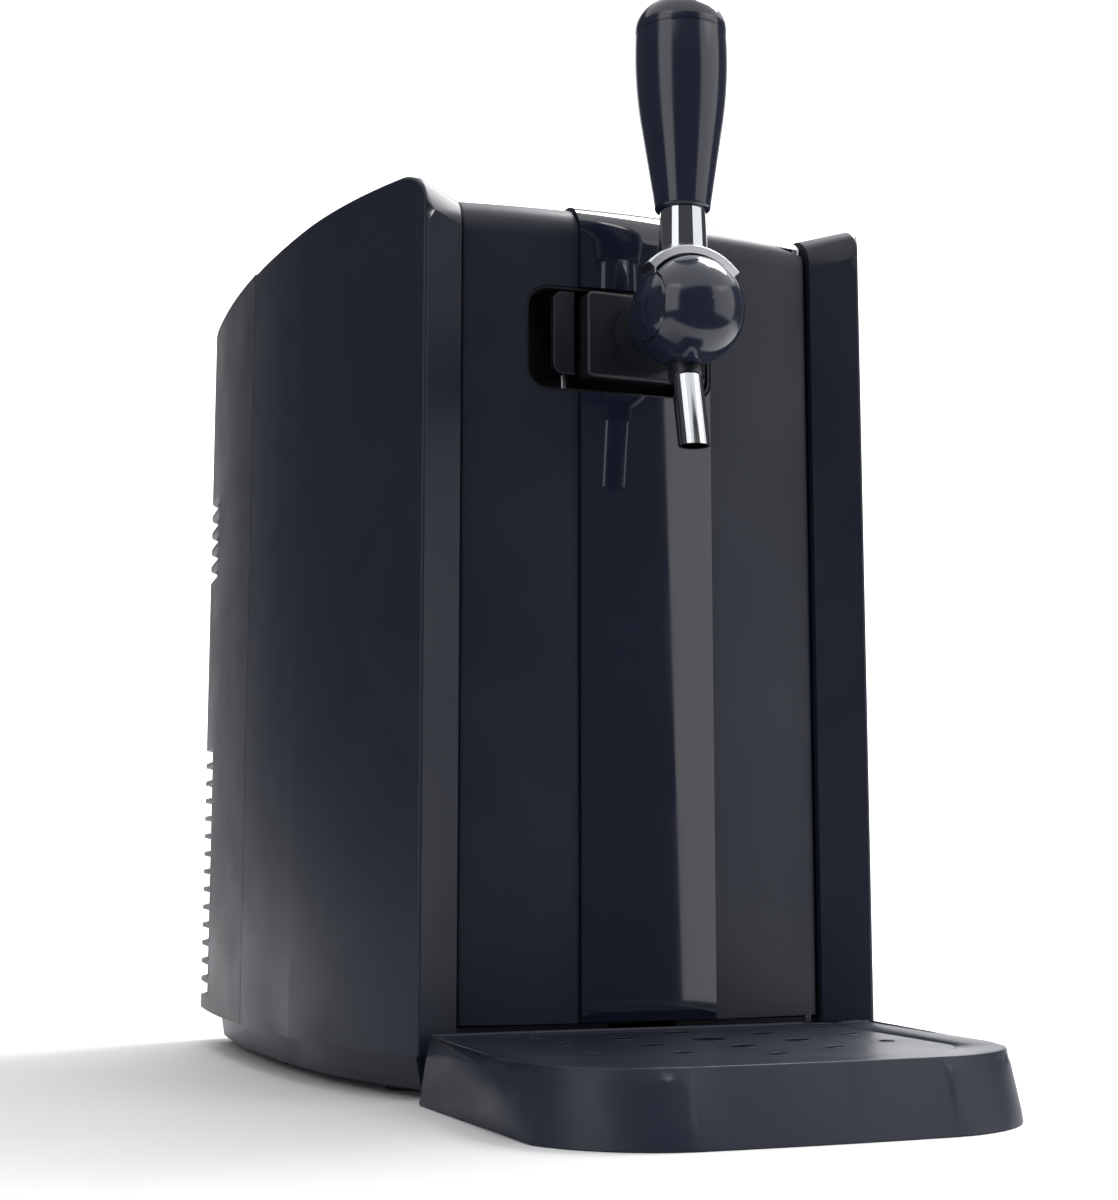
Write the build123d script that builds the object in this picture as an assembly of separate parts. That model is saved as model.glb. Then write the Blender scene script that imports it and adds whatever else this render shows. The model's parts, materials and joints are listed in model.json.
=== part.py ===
from build123d import *
import os
from math import cos, radians, sin, sqrt, tan

# Mini keg beer dispenser, in millimetres. +X is right as seen from the front, +Y goes back, +Z up.
# While a piece is modelled, Y = 0 is the plane of the door's side edges and Z = 0 is the table.
# save() then moves every piece, so that the origin is the middle of the footprint.

# Cabinet: barrel-shaped in plan, with a flat roof
cabinet_width = 300.0
cabinet_back = 322.0        # from the door's side edges to the back
cabinet_top = 412.0
cabinet_bottom = 20.0       # underside of the side shells, on top of the plinth
front_width = 220.0         # across the front edges of the side shells
cheek_reach = 14.7          # how far those edges stand in front of the door's side edges
jamb_reach = 3.0            # the same for the bevel's inner edges, so that they hide the door's gap
shoulder_y = 92.0           # where the front curve of the side meets the long one
widest_y = 213.0
side_radius = 919.0
cheek_corner_radius = 17.0
rear_corner_radius = 28.0
rear_top_radius = 35.0
front_edge_radius = 1.6
wall = 3.0
seam_y = 171.0              # seam between the side shells and the rear cover
seam_gap = 0.6
flange_width = 15.0         # lip under the shells that stands on the plinth
roof_drop = 4.0             # the roof lies this far below the top of the side shells
running_gap = 0.2           # between neighbours that slide past each other at assembly

# Plinth and feet
plinth_inset = 11.0
plinth_draft = 9.0          # degrees
plinth_bottom = 4.0
plinth_front = 3.0
foot_radius = 11.0
foot_half_span = 96.0
foot_front_y = 46.0
foot_rear_y = 268.0

# Door
door_bottom = 31.0
door_depth = 28.0
door_bow = 7.0              # the middle of the front stands this far out
door_top_radius = 18.0
door_edge_radius = 1.5
door_taper = 1.7            # the sides draw in towards the back, so the free edge clears the jamb
door_gap = 1.0
door_over_roof = 0.6
strip_half = 32.8
strip_proud = 1.8
strip_sunk = 1.2
strip_gap = 0.8
strip_foot_depth = 1.6      # the strip's lower end is bevelled this deep and this high
strip_foot_height = 7.0
seal_width = 4.0
seal_gap = 0.3
seal_overlap = 6.0          # how far outside the bay's opening the seal runs

# Hinge, at the door's right edge
hinge_inset = 3.5           # axis from the side edge and from the front
lower_pin_radius = 2.0
upper_pin_radius = 1.25
knuckle_radius = 2.3
pin_clearance = 0.05
pin_reach = 11.0
tongue_z = 398.0
tongue_thickness = 2.4
tongue_width = 14.0
tongue_slot_gap = 0.6

# Front frame and keg bay
frame_y = 31.0
frame_thickness = 3.0
bay_radius = 84.5
frame_side = 4.8            # width of the frame beside the bay's opening
bay_lead = 1.5              # straight stretch before the bay's round back
bay_floor = 46.0
bay_ceiling = 345.0
bay_wall = 2.5
bay_corner_radius = 12.0
jacket_gap = 0.3
jacket_thickness = 12.0
cradle_gap = 4.5
cradle_width = 5.0
cradle_height = 4.0

# Cooling stack behind the bay
cold_plate_half = 40.0
cold_plate_bottom = 120.0
cold_plate_top = 240.0
cold_plate_proud = 2.7      # how far the cold plate stands out of the insulation
peltier_side = 40.0
peltier_thickness = 4.0
sink_half = 50.0
sink_base = 6.0
sink_depth = 32.0
fin_thickness = 1.8
fin_count = 15
fan_size = 92.0
fan_depth = 25.0
fan_wall = 3.0
fan_bore_radius = 43.0
fan_hole_spacing = 82.5
fan_hole_radius = 2.1
fan_screw_radius = 1.9
fan_screw_grip = 6.0
rotor_radius = 41.0
hub_radius = 17.0
blade_count = 7
blade_angle = 38.0
blade_thickness = 1.8

# Rear cover: louvres, dust screen, screws, inlet and switch
louvre_pitch = 10.0
louvre_mouth = 7.8
louvre_throat = 6.4
louvre_front = 262.0        # where the slots begin on the sides
lower_louvre_z = 27.0
lower_louvre_count = 14
upper_louvre_z = 262.0
upper_louvre_count = 5
louvre_rib_half = 3.0
louvre_field_half = 56.0
screen_gap = 0.5
screen_thickness = 1.0
screen_margin = 8.0         # how far the dust screens reach past the slots
post_x = 116.0
post_side = 14.0
service_z = 213.0           # height of the cover screws, the inlet and the switch
screw_head_radius = 4.0
screw_head_height = 2.4
screw_radius = 2.0
screw_length = 14.0
screw_boss_radius = 7.0
screw_boss_depth = 13.0
inlet_x = -84.0
inlet_width = 27.0
inlet_height = 20.0
inlet_depth = 24.0
inlet_wall = 1.8
switch_x = -44.0
switch_width = 14.0
switch_height = 21.0
switch_depth = 20.0
switch_wall = 1.4

# Service parts on the plinth's floor
board_x = 18.0
board_y = 140.0
board_width = 74.0
board_depth = 52.0
board_thickness = 1.6
board_height = 5.0
component_gap = 6.0
relay_side = 22.0
relay_height = 9.0
chip_side = 14.0
chip_height = 2.0
capacitor_radius = 3.2
capacitor_height = 8.0
standoff_radius = 3.0
pump_side_gap = 35.0        # between the pump and the widest part of the cabinet
pump_y = 250.0
pump_width = 30.0
pump_length = 56.0
pump_base_height = 15.0
motor_radius = 11.0
motor_inset = 5.0
nozzle_radius = 2.0
nozzle_length = 8.0

# Pocket, release lever and magnet slider in the door
pocket_left = -58.5
pocket_right = 34.0
pocket_bottom = 317.0
pocket_top = 367.0
pocket_corner = 11.0
pocket_back = 14.0
pocket_wall = 1.2
pocket_rim = 0.6            # how far the rim lies behind the door's surface
lever_left = -45.0
lever_right = -34.5
lever_bottom = 325.5
lever_top = 365.0
lever_front = -4.6
lever_thickness = 4.0
lever_corner = 5.0
lever_edge_radius = 0.7
lever_pin_radius = 1.5
lever_pin_x = -37.2
lever_pin_y = 4.0
lever_barrel_radius = 3.2
lever_tail_width = 4.0
lever_tail_height = 9.0
lever_tail_back = 21.0
lever_z = 345.0
slider_front = 16.0
slider_back = 22.0
slider_height = 11.0
slider_end = -30.0
slider_slot = 7.0
magnet_left = -74.0
magnet_side = 12.0
magnet_rise = 13.0          # the magnet sits above the bay's opening
magnet_gap = 0.5
slider_travel = 4.6

# Tap carrier and ball tap
carrier_left = -31.0
carrier_right = 29.0
carrier_bottom = 323.5
carrier_top = 364.5
carrier_front = -12.0
carrier_edge = 3.0
ball_radius = 24.5
ball_y = -57.5
ball_z = 345.0
ball_end_radius = 18.0      # of the ball's drawn-out back, where the neck meets it
neck_y = -28.5
neck_front_radius = 14.5
neck_back_radius = 17.5
cap_seam = 18.8
disc_thickness = 0.6
disc_gap = 0.1
disc_radius = 14.2
disc_recess_radius = 16.8
shaft_radius = 3.0
shaft_half = 22.6
cam_radius = 5.0
cam_offset = 3.4
cam_half = 5.0
cam_room = 0.4
saddle_gap = 1.1
saddle_thickness = 3.6
saddle_front = 6.0
saddle_rear = 7.0
saddle_half_angle = 50.0
saddle_edge_radius = 0.6
pad_rise = 0.6              # the ferrule's pad stands this far above the saddle
arm_half = 6.0
lever_lean = 0.5            # the handle leans back a little when shut
handle_back = 6.5           # the handle's axis passes this far behind the ball's centre
spout_radius = 7.0
spout_wall = 1.1
spout_lean = 12.5
spout_mouth_y = -60.5
spout_mouth_z = 283.0
spout_length = 45.0
spout_clearance = 0.05
collar_start = 33.0
collar_length = 8.0
collar_radius = 8.2
chamber_radius = 5.2
chamber_floor = 328.5
passage_radius = 3.6
spool_clearance = 0.2
spool_height = 6.0
spring_wire = 0.5
spring_radius = 4.2
spring_turns = 3
tube_radius = 3.0
tube_wall = 0.8
tube_z = 334.0
tube_front = -45.0
tube_back = 40.0
connector_radius = 6.0
connector_length = 8.0

# Handle, with heights from the centre of the ball
ferrule_top = 47.6
ferrule_foot_radius = 11.0
ferrule_head_radius = 10.4
grip_bottom = 48.0
grip_foot_radius = 12.8
grip_lip = 2.0
grip_taper_top = 89.0
grip_taper_radius = 18.9
grip_radius = 21.1
grip_full = 130.0
cap_bottom = 131.4
crown_start = 133.2
crown_edge_radius = 13.0
crown_turn = 60.0           # degrees that the crown's edge turns before its dome
handle_seam = 0.3
stud_radius = 4.0
stud_top = 118.0

# Drip tray and grid
tray_half_bottom = 110.0
tray_half_top = 103.5
tray_back_bottom = -16.5
tray_back_top = -18.5
tray_front_bottom = -189.0
tray_front_top = -178.0
tray_bow = 5.0
tray_corner_bottom = 50.0
tray_corner_top = 44.0
tray_bottom = 2.0
tray_top = 30.0
tray_wall = 3.0
tray_edge_radius = 1.0
pad_radius = 9.0
pad_height = 2.6
pad_side_inset = 37.0
pad_end_inset = 26.0
grid_half = 82.0
grid_back = -27.0
grid_front = -148.0
grid_corner = 30.0
grid_bow = 4.0
grid_thickness = 3.0
grid_gap = 0.4
grid_ledge = 3.0
grid_skirt = 2.0
hole_chamfer = 0.5
hole_columns = 5
hole_column_pitch = 31.9
hole_row_pitch = 32.0
hole_rows = 4
hole_first_y = -38.0
hole_centre_radius = 7.2
hole_edge_radius = 3.1
tongue_half = 16.0
tongue_end = 17.0           # the tray's tongue reaches this far behind the door's side edges
hook_bottom = 24.0
hook_height = 4.0
hook_gap = 0.4
sill_top = 30.0
sill_front = 2.0

# Sizes that follow from the ones above
cabinet_half = cabinet_width / 2
front_half = front_width / 2
jamb_x = bay_radius + frame_side + running_gap
door_half = jamb_x - door_gap
roof_z = cabinet_top - roof_drop
lip_z = roof_z - wall       # underside of the roof plate and of the shells' roofs
tongue_plate_z = lip_z - wall
floor_z = plinth_bottom + wall
door_top = roof_z + door_over_roof
frame_back = frame_y + frame_thickness
bay_centre_y = frame_back + bay_lead + bay_radius
cradle_radius = bay_radius - cradle_gap
hinge_x = door_half - hinge_inset
hinge_y = hinge_inset
bevel_slope = (cheek_reach - jamb_reach) / (front_half - jamb_x)
footprint_middle_y = (cabinet_back + tray_front_bottom - tray_bow) / 2
cap_face = cap_seam + disc_thickness + 2 * disc_gap
saddle_inner = ball_radius + saddle_gap
saddle_outer = saddle_inner + saddle_thickness
pad_top = saddle_outer + pad_rise
jacket_inner = bay_radius + bay_wall + jacket_gap
jacket_outer = jacket_inner + jacket_thickness
cold_plate_back = bay_centre_y + jacket_outer + cold_plate_proud
sink_y = cold_plate_back + peltier_thickness
fan_y = sink_y + sink_depth + running_gap
cover_inner_y = cabinet_back - wall
magnet_z = lever_z + magnet_rise
far = 500.0                 # longer than anything here, for cutting


# Shapes drawn in one view and carried along the axis across it

def block(x0, x1, y0, y1, z0, z1):
    centre = ((x0 + x1) / 2, (y0 + y1) / 2, (z0 + z1) / 2)
    return Pos(*centre) * Box(x1 - x0, y1 - y0, z1 - z0)


def upright(plan, z0, z1):
    return extrude(Pos(0, 0, z0) * plan, amount=z1 - z0)


def across(side_view, x0, x1):
    return extrude(Plane.YZ.offset(x0) * side_view, amount=x1 - x0)


def through(front_view, y0, y1):
    return extrude(Plane.XZ.offset(-y0) * front_view, amount=y0 - y1)


def rod_x(x0, x1, y, z, radius):
    return across(Pos(y, z) * Circle(radius), x0, x1)


def rod_y(y0, y1, x, z, radius):
    return through(Pos(x, z) * Circle(radius), y0, y1)


def rod_z(z0, z1, x, y, radius):
    return upright(Pos(x, y) * Circle(radius), z0, z1)


def both_sides(solid):
    return solid + mirror(solid, about=Plane.YZ)


def rectangle(u0, u1, v0, v1, radius=0.0):
    face = Pos((u0 + u1) / 2, (v0 + v1) / 2) * Rectangle(u1 - u0, v1 - v0)
    return fillet(face.vertices(), radius) if radius > 0 else face


def cover_screw_places():
    return [(-post_x, service_z), (post_x, service_z)]


# Cabinet outline: the front arc of each side meets the long arc without a corner at the shoulder.

long_centre = Vector(cabinet_half - side_radius, widest_y)
shoulder = long_centre + Vector(
    sqrt(side_radius**2 - (shoulder_y - widest_y) ** 2), shoulder_y - widest_y
)
shoulder_out = (shoulder - long_centre).normalized()
front_chord = Vector(front_half, -cheek_reach) - shoulder
front_arc_radius = -front_chord.dot(front_chord) / (2 * front_chord.dot(shoulder_out))
front_centre = shoulder - shoulder_out * front_arc_radius


def side_point(y, inset):
    split = shoulder_y - shoulder_out.Y * inset
    centre, radius = (front_centre, front_arc_radius) if y < split else (long_centre, side_radius)
    return (centre.X + sqrt((radius - inset) ** 2 - (y - centre.Y) ** 2), y)


def plan_half(y0, y1, inset, corner):
    """Right half of the cabinet's plan between y0 and y1, drawn in by inset."""
    split = shoulder_y - shoulder_out.Y * inset
    stops = [y0, split, y1] if y0 < split < y1 else [y0, y1]
    side = [
        ThreePointArc(side_point(a, inset), side_point((a + b) / 2, inset), side_point(b, inset))
        for a, b in zip(stops, stops[1:])
    ]
    rest = Polyline(side[-1] @ 1, (0, y1), (0, y0), side[0] @ 0)
    outline = make_face(side + [rest])
    if corner > 0:
        outer_rear = outline.vertices().group_by(Axis.Y)[-1].sort_by(Axis.X)[-1]
        outline = fillet(outer_rear, corner)
    return outline


def side_view(y0, y1, z0, z1, front_radius, rear_radius):
    face = Polygon((y0, z0), (y1, z0), (y1, z1), (y0, z1), align=None)
    if front_radius > 0:
        face = fillet(face.vertices().group_by(Axis.Y)[-1].sort_by(Axis.X)[0], front_radius)
    if rear_radius > 0:
        face = fillet(face.vertices().group_by(Axis.Y)[-1].sort_by(Axis.X)[-1], rear_radius)
    return face


# Side shells and roof

def cheek_form(inset, bottom):
    """The right cheek as a full form, drawn in by inset and bevelled down to the door opening."""
    back = seam_y - seam_gap / 2 + (1 if inset else 0)
    lean = inset * sqrt(1 + bevel_slope**2)
    radius = max(cheek_corner_radius - inset, 1)
    front = lean - jamb_reach - bevel_slope * inset
    inner = side_view(front, back, bottom, roof_z - inset, radius, 0)
    outer = side_view(lean - cheek_reach, back, bottom, cabinet_top - inset, radius, 0)
    sections = [Plane.YZ.offset(jamb_x + inset) * inner, Plane.YZ.offset(front_half) * outer]
    form = loft(sections, ruled=True) + across(outer, front_half, cabinet_half + 1)
    return form & upright(plan_half(-cheek_reach, cabinet_back, inset, 0), bottom, cabinet_top + 1)


def on_outer_rim(edge):
    """True for the edges where the outer skin meets the bevel, the corner and the roof."""
    middle = edge.center()
    if middle.Z < cabinet_bottom + 5 or middle.Y > seam_y - 5:
        return False
    return all(abs(p.X - side_point(p.Y, 0)[0]) < 0.05 for p in (edge @ 0, edge @ 1))


def side_shell():
    solid = cheek_form(0, cabinet_bottom)
    solid -= cheek_form(wall, cabinet_bottom + wall)
    solid -= cheek_form(flange_width, cabinet_bottom - 1)
    # Behind the jamb the shell is open towards the middle, under its roof.
    solid -= block(jamb_x - 1, jamb_x + wall + 0.1, frame_back, seam_y + 1, 0, lip_z)
    return fillet([e for e in solid.edges() if on_outer_rim(e)], front_edge_radius)


def roof_panel():
    """Roof plate, side lips under the shells' roofs and a tongue under the rear cover's roof."""
    edge = jamb_x - running_gap
    plate = block(-edge, edge, frame_y + running_gap, seam_y - seam_gap / 2, lip_z, roof_z)
    lip_half = front_half - 2
    lip = block(-lip_half, lip_half, frame_back + 1, seam_y + flange_width, tongue_plate_z, lip_z)
    return plate + lip


# Plinth: a shallow open tray that carries everything, on four rubber feet

def plinth_form(inset, z0, z1):
    """The plinth between two heights, narrower towards the table."""
    def outline(z):
        drawn_in = plinth_inset + inset + (cabinet_bottom - z) * tan(radians(plinth_draft))
        corner = max(rear_corner_radius - drawn_in, 2)
        return plan_half(plinth_front + inset, cabinet_back - drawn_in, drawn_in, corner)

    half = loft([Pos(0, 0, z0) * outline(z0), Pos(0, 0, z1) * outline(z1)], ruled=True)
    return both_sides(half)


def base_plinth():
    solid = plinth_form(0, plinth_bottom, cabinet_bottom)
    solid -= plinth_form(wall, floor_z, cabinet_bottom + 1)
    post_back = cover_inner_y - screw_boss_depth
    for x in (-post_x, post_x):
        half = post_side / 2
        post = block(x - half, x + half, post_back - post_side, post_back, floor_z - 1,
                     service_z + half)
        solid += post - rod_y(post_back - screw_length, post_back + 1, x, service_z,
                              screw_radius + pin_clearance)
    for x, y in foot_places():
        solid -= rod_z(0, plinth_bottom + 1, x, y, foot_radius + running_gap)
    for x in (board_x + component_gap, board_x + board_width - component_gap):
        for y in (board_y + component_gap, board_y + board_depth - component_gap):
            solid += rod_z(floor_z - 1, floor_z + board_height, x, y, standoff_radius)
    return solid


def foot_places():
    return [(x, y) for x in (-foot_half_span, foot_half_span) for y in (foot_front_y, foot_rear_y)]


def rubber_feet():
    return Compound(
        [rod_z(0, plinth_bottom + 1, x, y, foot_radius) for x, y in foot_places()]
    )


def front_sill():
    """Bar under the door, notched in the middle for the drip tray's tongue."""
    edge = jamb_x - running_gap
    solid = block(-edge, edge, sill_front, frame_y, cabinet_bottom, sill_top)
    notch_half = tongue_half + hook_gap
    solid -= block(-notch_half, notch_half, sill_front - 1, tongue_end + 1, hook_bottom - hook_gap,
                   sill_top + 1)
    return solid - rod_z(cabinet_bottom, sill_top + 1, hinge_x, hinge_y, lower_pin_radius)


# Front frame and keg bay

def front_frame():
    """Plate behind the door with the bay's opening, a seat for the strike and a hinge slot."""
    edge = jamb_x - running_gap
    solid = block(-edge, edge, frame_y, frame_back, floor_z, tongue_plate_z)
    opening = rectangle(-bay_radius, bay_radius, bay_floor, bay_ceiling, bay_corner_radius)
    solid -= through(opening, frame_y - 1, frame_back + 1)
    solid -= strike_plate(running_gap)
    slot_bottom, slot_top = tongue_z - running_gap, tongue_z + tongue_thickness + running_gap
    return solid - block(hinge_x - tongue_width / 2 - running_gap, edge + 1, frame_y - 1,
                         frame_back + 1, slot_bottom, slot_top)


def strike_plate(grow):
    left = magnet_left - 2 - grow
    right = magnet_left + magnet_side + 2 + grow
    reach = magnet_side / 2 + grow
    return block(left, right, frame_y - grow, frame_y + 1.5, magnet_z - reach, magnet_z + reach)


def bay_plan(radius, front):
    """U-shaped plan: straight sides and a round back."""
    back = Pos(0, bay_centre_y) * Circle(radius) - rectangle(-far, far, -far, bay_centre_y)
    return rectangle(-radius, radius, front, bay_centre_y) + back


def bay_liner():
    outer = upright(bay_plan(bay_radius + bay_wall, frame_back), bay_floor - bay_wall,
                    bay_ceiling + bay_wall)
    return outer - upright(bay_plan(bay_radius, frame_back - 1), bay_floor, bay_ceiling)


def insulation_jacket():
    room = bay_wall + jacket_gap
    outer = upright(bay_plan(jacket_outer, frame_back + running_gap),
                    bay_floor - room - jacket_thickness, bay_ceiling + room + jacket_thickness)
    outer -= upright(bay_plan(jacket_inner, frame_back - 1), bay_floor - room, bay_ceiling + room)
    return outer - block(-cold_plate_half - 1, cold_plate_half + 1, bay_centre_y, cold_plate_back + 1,
                         cold_plate_bottom - 1, cold_plate_top + 1)


def keg_cradle():
    """Ring on the bay's floor that centres the keg's foot."""
    ring = Circle(cradle_radius) - Circle(cradle_radius - cradle_width)
    return upright(Pos(0, bay_centre_y) * ring, bay_floor, bay_floor + cradle_height)


# Cooling stack

def cold_plate():
    """Aluminium saddle whose hollow front hugs the round back of the bay."""
    solid = block(-cold_plate_half, cold_plate_half, bay_centre_y + bay_radius / 2, cold_plate_back,
                  cold_plate_bottom, cold_plate_top)
    return solid - rod_z(0, far, 0, bay_centre_y, bay_radius + bay_wall)


def peltier_module():
    middle = (cold_plate_bottom + cold_plate_top) / 2
    reach = peltier_side / 2
    return block(-reach, reach, cold_plate_back, sink_y, middle - reach, middle + reach)


def heat_sink():
    solid = block(-sink_half, sink_half, sink_y, sink_y + sink_base, cold_plate_bottom,
                  cold_plate_top)
    step = (2 * sink_half - fin_thickness) / (fin_count - 1)
    fins = [
        block(x, x + fin_thickness, sink_y + sink_base - 1, sink_y + sink_depth, cold_plate_bottom,
              cold_plate_top)
        for x in (-sink_half + i * step for i in range(fin_count))
    ]
    solid += fins
    return solid - [
        rod_y(fan_y - fan_screw_grip, fan_y, x, z, fan_screw_radius) for x, z in fan_screw_places()
    ]


def fan_centre_z():
    return (cold_plate_bottom + cold_plate_top) / 2


def fan_screw_places():
    reach = fan_hole_spacing / 2
    return [(x, fan_centre_z() + dz) for x in (-reach, reach) for dz in (-reach, reach)]


def fan_frame():
    """Square duct with corner holes, and four struts that carry the motor's seat at the back."""
    half, z = fan_size / 2, fan_centre_z()
    back = fan_y + fan_depth
    solid = through(rectangle(-half, half, z - half, z + half, 4), fan_y, back)
    solid -= rod_y(fan_y - 1, back + 1, 0, z, fan_bore_radius)
    for turn in (45, 135):
        bar = Box(2 * fan_bore_radius + 2, fan_wall, 5)
        solid += Pos(0, back - fan_wall / 2, z) * Rot(0, turn, 0) * bar
    solid += rod_y(back - fan_wall, back, 0, z, hub_radius)
    solid += rod_y(back - 9, back - fan_wall, 0, z, 2)
    for x, hole_z in fan_screw_places():
        solid -= rod_y(fan_y - 1, back + 1, x, hole_z, fan_hole_radius)
    return solid


def fan_rotor():
    """Hub with pitched blades, running on the frame's pin."""
    z = fan_centre_z()
    front, back = fan_y + 2, fan_y + fan_depth - fan_wall - 1
    solid = rod_y(front, back, 0, z, hub_radius - 1)
    disc = rod_y(front, back, 0, z, rotor_radius)
    reach = rotor_radius - hub_radius + 6
    for i in range(blade_count):
        blade = Pos(0, 0, rotor_radius - reach / 2) * Rot(0, 0, blade_angle)
        blade = blade * Box(blade_thickness, 28, reach)
        turned = Pos(0, (front + back) / 2, z) * Rot(0, i * 360 / blade_count, 0) * blade
        solid += turned & disc
    return solid - rod_y(back - 9, back + 1, 0, z, 2 + pin_clearance)


def fan_screws():
    back = fan_y + fan_depth
    screws = []
    for x, z in fan_screw_places():
        shank = rod_y(fan_y - fan_screw_grip, back, x, z, fan_screw_radius)
        screws.append(shank + rod_y(back, back + 2, x, z, 3.2))
    return Compound(screws)


# Rear cover

def cover_form(inset, bottom, top, front):
    corner = rear_corner_radius - inset
    tall = both_sides(upright(plan_half(front, cabinet_back - inset, inset, corner), bottom, top + 1))
    view = side_view(front - 1, cabinet_back - inset, bottom, top, 0, rear_top_radius - inset)
    return tall & across(view, -cabinet_half - 1, cabinet_half + 1)


def louvre_section(z):
    """Side view of one slot: wide at its mouth, narrower inside, so that the blades taper."""
    mouth, throat = louvre_mouth / 2, louvre_throat / 2
    taper = (mouth - throat) / wall
    out, back = cabinet_back + 1, cover_inner_y - 1
    return Polygon(
        (out, z - mouth - taper),
        (out, z + mouth + taper),
        (back, z + throat - taper),
        (back, z - throat + taper),
        align=None,
    )


def louvre_slots():
    """Slots across the back and round both corners, with two upright ribs left between them."""
    outline = plan_half(louvre_front, cabinet_back, 0, rear_corner_radius).edges()
    corner, side = outline.filter_by(GeomType.CIRCLE).sort_by(lambda e: e.radius)
    turn_in = max((corner @ 0, corner @ 1), key=lambda p: p.Y)
    rib_x = louvre_field_half + louvre_rib_half
    path = Wire([Line((rib_x, cabinet_back), turn_in).edge(), corner, side])
    rows = [lower_louvre_z + i * louvre_pitch for i in range(lower_louvre_count)]
    rows += [upper_louvre_z + i * louvre_pitch for i in range(upper_louvre_count)]
    first = sweep(Plane.YZ.offset(rib_x) * louvre_section(0), path=path)
    middle = across(louvre_section(0), -rib_x + 2 * louvre_rib_half, rib_x - 2 * louvre_rib_half)
    one_row = [first, mirror(first, about=Plane.YZ), middle]
    return [Pos(0, 0, z + louvre_mouth / 2) * slot for z in rows for slot in one_row]


def rear_cover():
    front = seam_y + seam_gap / 2
    solid = cover_form(0, cabinet_bottom, cabinet_top, front)
    channel = Polygon(
        (-front_half, cabinet_top),
        (-jamb_x, roof_z),
        (jamb_x, roof_z),
        (front_half, cabinet_top),
        (front_half, cabinet_top + 5),
        (-front_half, cabinet_top + 5),
        align=None,
    )
    solid -= through(channel, front - 1, cabinet_back + 1)
    solid -= cover_form(wall, cabinet_bottom + wall, lip_z, front - 1)
    solid -= cover_form(flange_width, cabinet_bottom - 1, lip_z - wall, front - 1)
    solid -= louvre_slots()
    for x, z in cover_screw_places():
        solid += rod_y(cover_inner_y - screw_boss_depth, cover_inner_y + 0.5, x, z, screw_boss_radius)
        solid -= rod_y(cabinet_back - wall, cabinet_back + 1, x, z, screw_head_radius + running_gap)
        solid -= rod_y(cover_inner_y - screw_boss_depth - 1, cabinet_back, x, z,
                       screw_radius + running_gap)
    solid -= through(inlet_view(running_gap), cover_inner_y - 1, cabinet_back + 1)
    return solid - through(switch_view(running_gap), cover_inner_y - 1, cabinet_back + 1)


def inlet_view(grow):
    half, reach = inlet_width / 2 + grow, inlet_height / 2 + grow
    return rectangle(inlet_x - half, inlet_x + half, service_z - reach, service_z + reach, 3)


def switch_view(grow):
    half, reach = switch_width / 2 + grow, switch_height / 2 + grow
    return rectangle(switch_x - half, switch_x + half, service_z - reach, service_z + reach, 1.5)


def dust_screen():
    """Thin filters that stand close behind both rows of louvres and wrap the corners."""
    inset = wall + screen_gap
    front = louvre_front - screen_margin
    inner = cover_form(inset + screen_thickness, 0, far, front - 1)
    tall = cover_form(inset, 0, far, front) - inner
    over = louvre_mouth + 4
    lower_top = lower_louvre_z + lower_louvre_count * louvre_pitch + over
    upper_top = upper_louvre_z + upper_louvre_count * louvre_pitch + over
    lower = tall & block(-far, far, 0, far, cabinet_bottom + wall + running_gap, lower_top)
    upper = tall & block(-far, far, 0, far, upper_louvre_z - over, upper_top)
    return Compound([lower, upper])


def cover_screws():
    screws = []
    head_back = cabinet_back - 0.4
    for x, z in cover_screw_places():
        head = rod_y(head_back - screw_head_height, head_back, x, z, screw_head_radius)
        head -= block(x - 0.6, x + 0.6, head_back - 1.2, head_back + 1, z - 3, z + 3)
        shank = rod_y(cover_inner_y - screw_boss_depth - screw_length + 1,
                      head_back - screw_head_height, x, z, screw_radius)
        screws.append(head + shank)
    return Compound(screws)


def power_inlet():
    """Three-blade mains inlet, set flush in the cover."""
    back = cabinet_back - running_gap
    solid = through(inlet_view(0), back - inlet_depth, back)
    # A collar holds the inlet against the inside of the cover.
    solid += through(inlet_view(3), cover_inner_y - 2, cover_inner_y)
    half = inlet_width / 2 - inlet_wall
    reach = inlet_height / 2 - inlet_wall
    cavity = rectangle(inlet_x - half, inlet_x + half, service_z - reach, service_z + reach, 2)
    solid -= through(cavity, back - inlet_depth + 5, back + 1)
    for dx, dz in ((-7, 2), (0, -2), (7, 2)):
        blade = block(inlet_x + dx - 1, inlet_x + dx + 1, back - inlet_depth + 4, back - 3,
                      service_z + dz - 2, service_z + dz + 2)
        solid += blade
    return solid


def switch_housing():
    back = cabinet_back - running_gap
    solid = through(switch_view(0), back - switch_depth, back)
    solid += through(switch_view(3), cover_inner_y - 2, cover_inner_y)
    half, reach = switch_width / 2 - switch_wall, switch_height / 2 - switch_wall
    cavity = rectangle(switch_x - half, switch_x + half, service_z - reach, service_z + reach)
    solid -= through(cavity, back - switch_depth + 4, back + 1)
    return solid - rod_x(switch_x - half - 1, switch_x + half + 1, rocker_y(), service_z,
                         1 + pin_clearance)


def rocker_y():
    return cabinet_back - 8


def power_rocker():
    """Rocker with a hollowed face, pivoting on two short stubs."""
    half = switch_width / 2 - switch_wall - 0.4
    view = Polygon((-4, -3.5), (7.3, -6.8), (4.6, 0), (5.2, 6.8), (-4, 3.5), align=None)
    solid = across(Pos(rocker_y(), service_z) * view, switch_x - half, switch_x + half)
    return solid + rod_x(switch_x - half - 1.2, switch_x + half + 1.2, rocker_y(), service_z, 1)


# Service parts on the plinth

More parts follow.
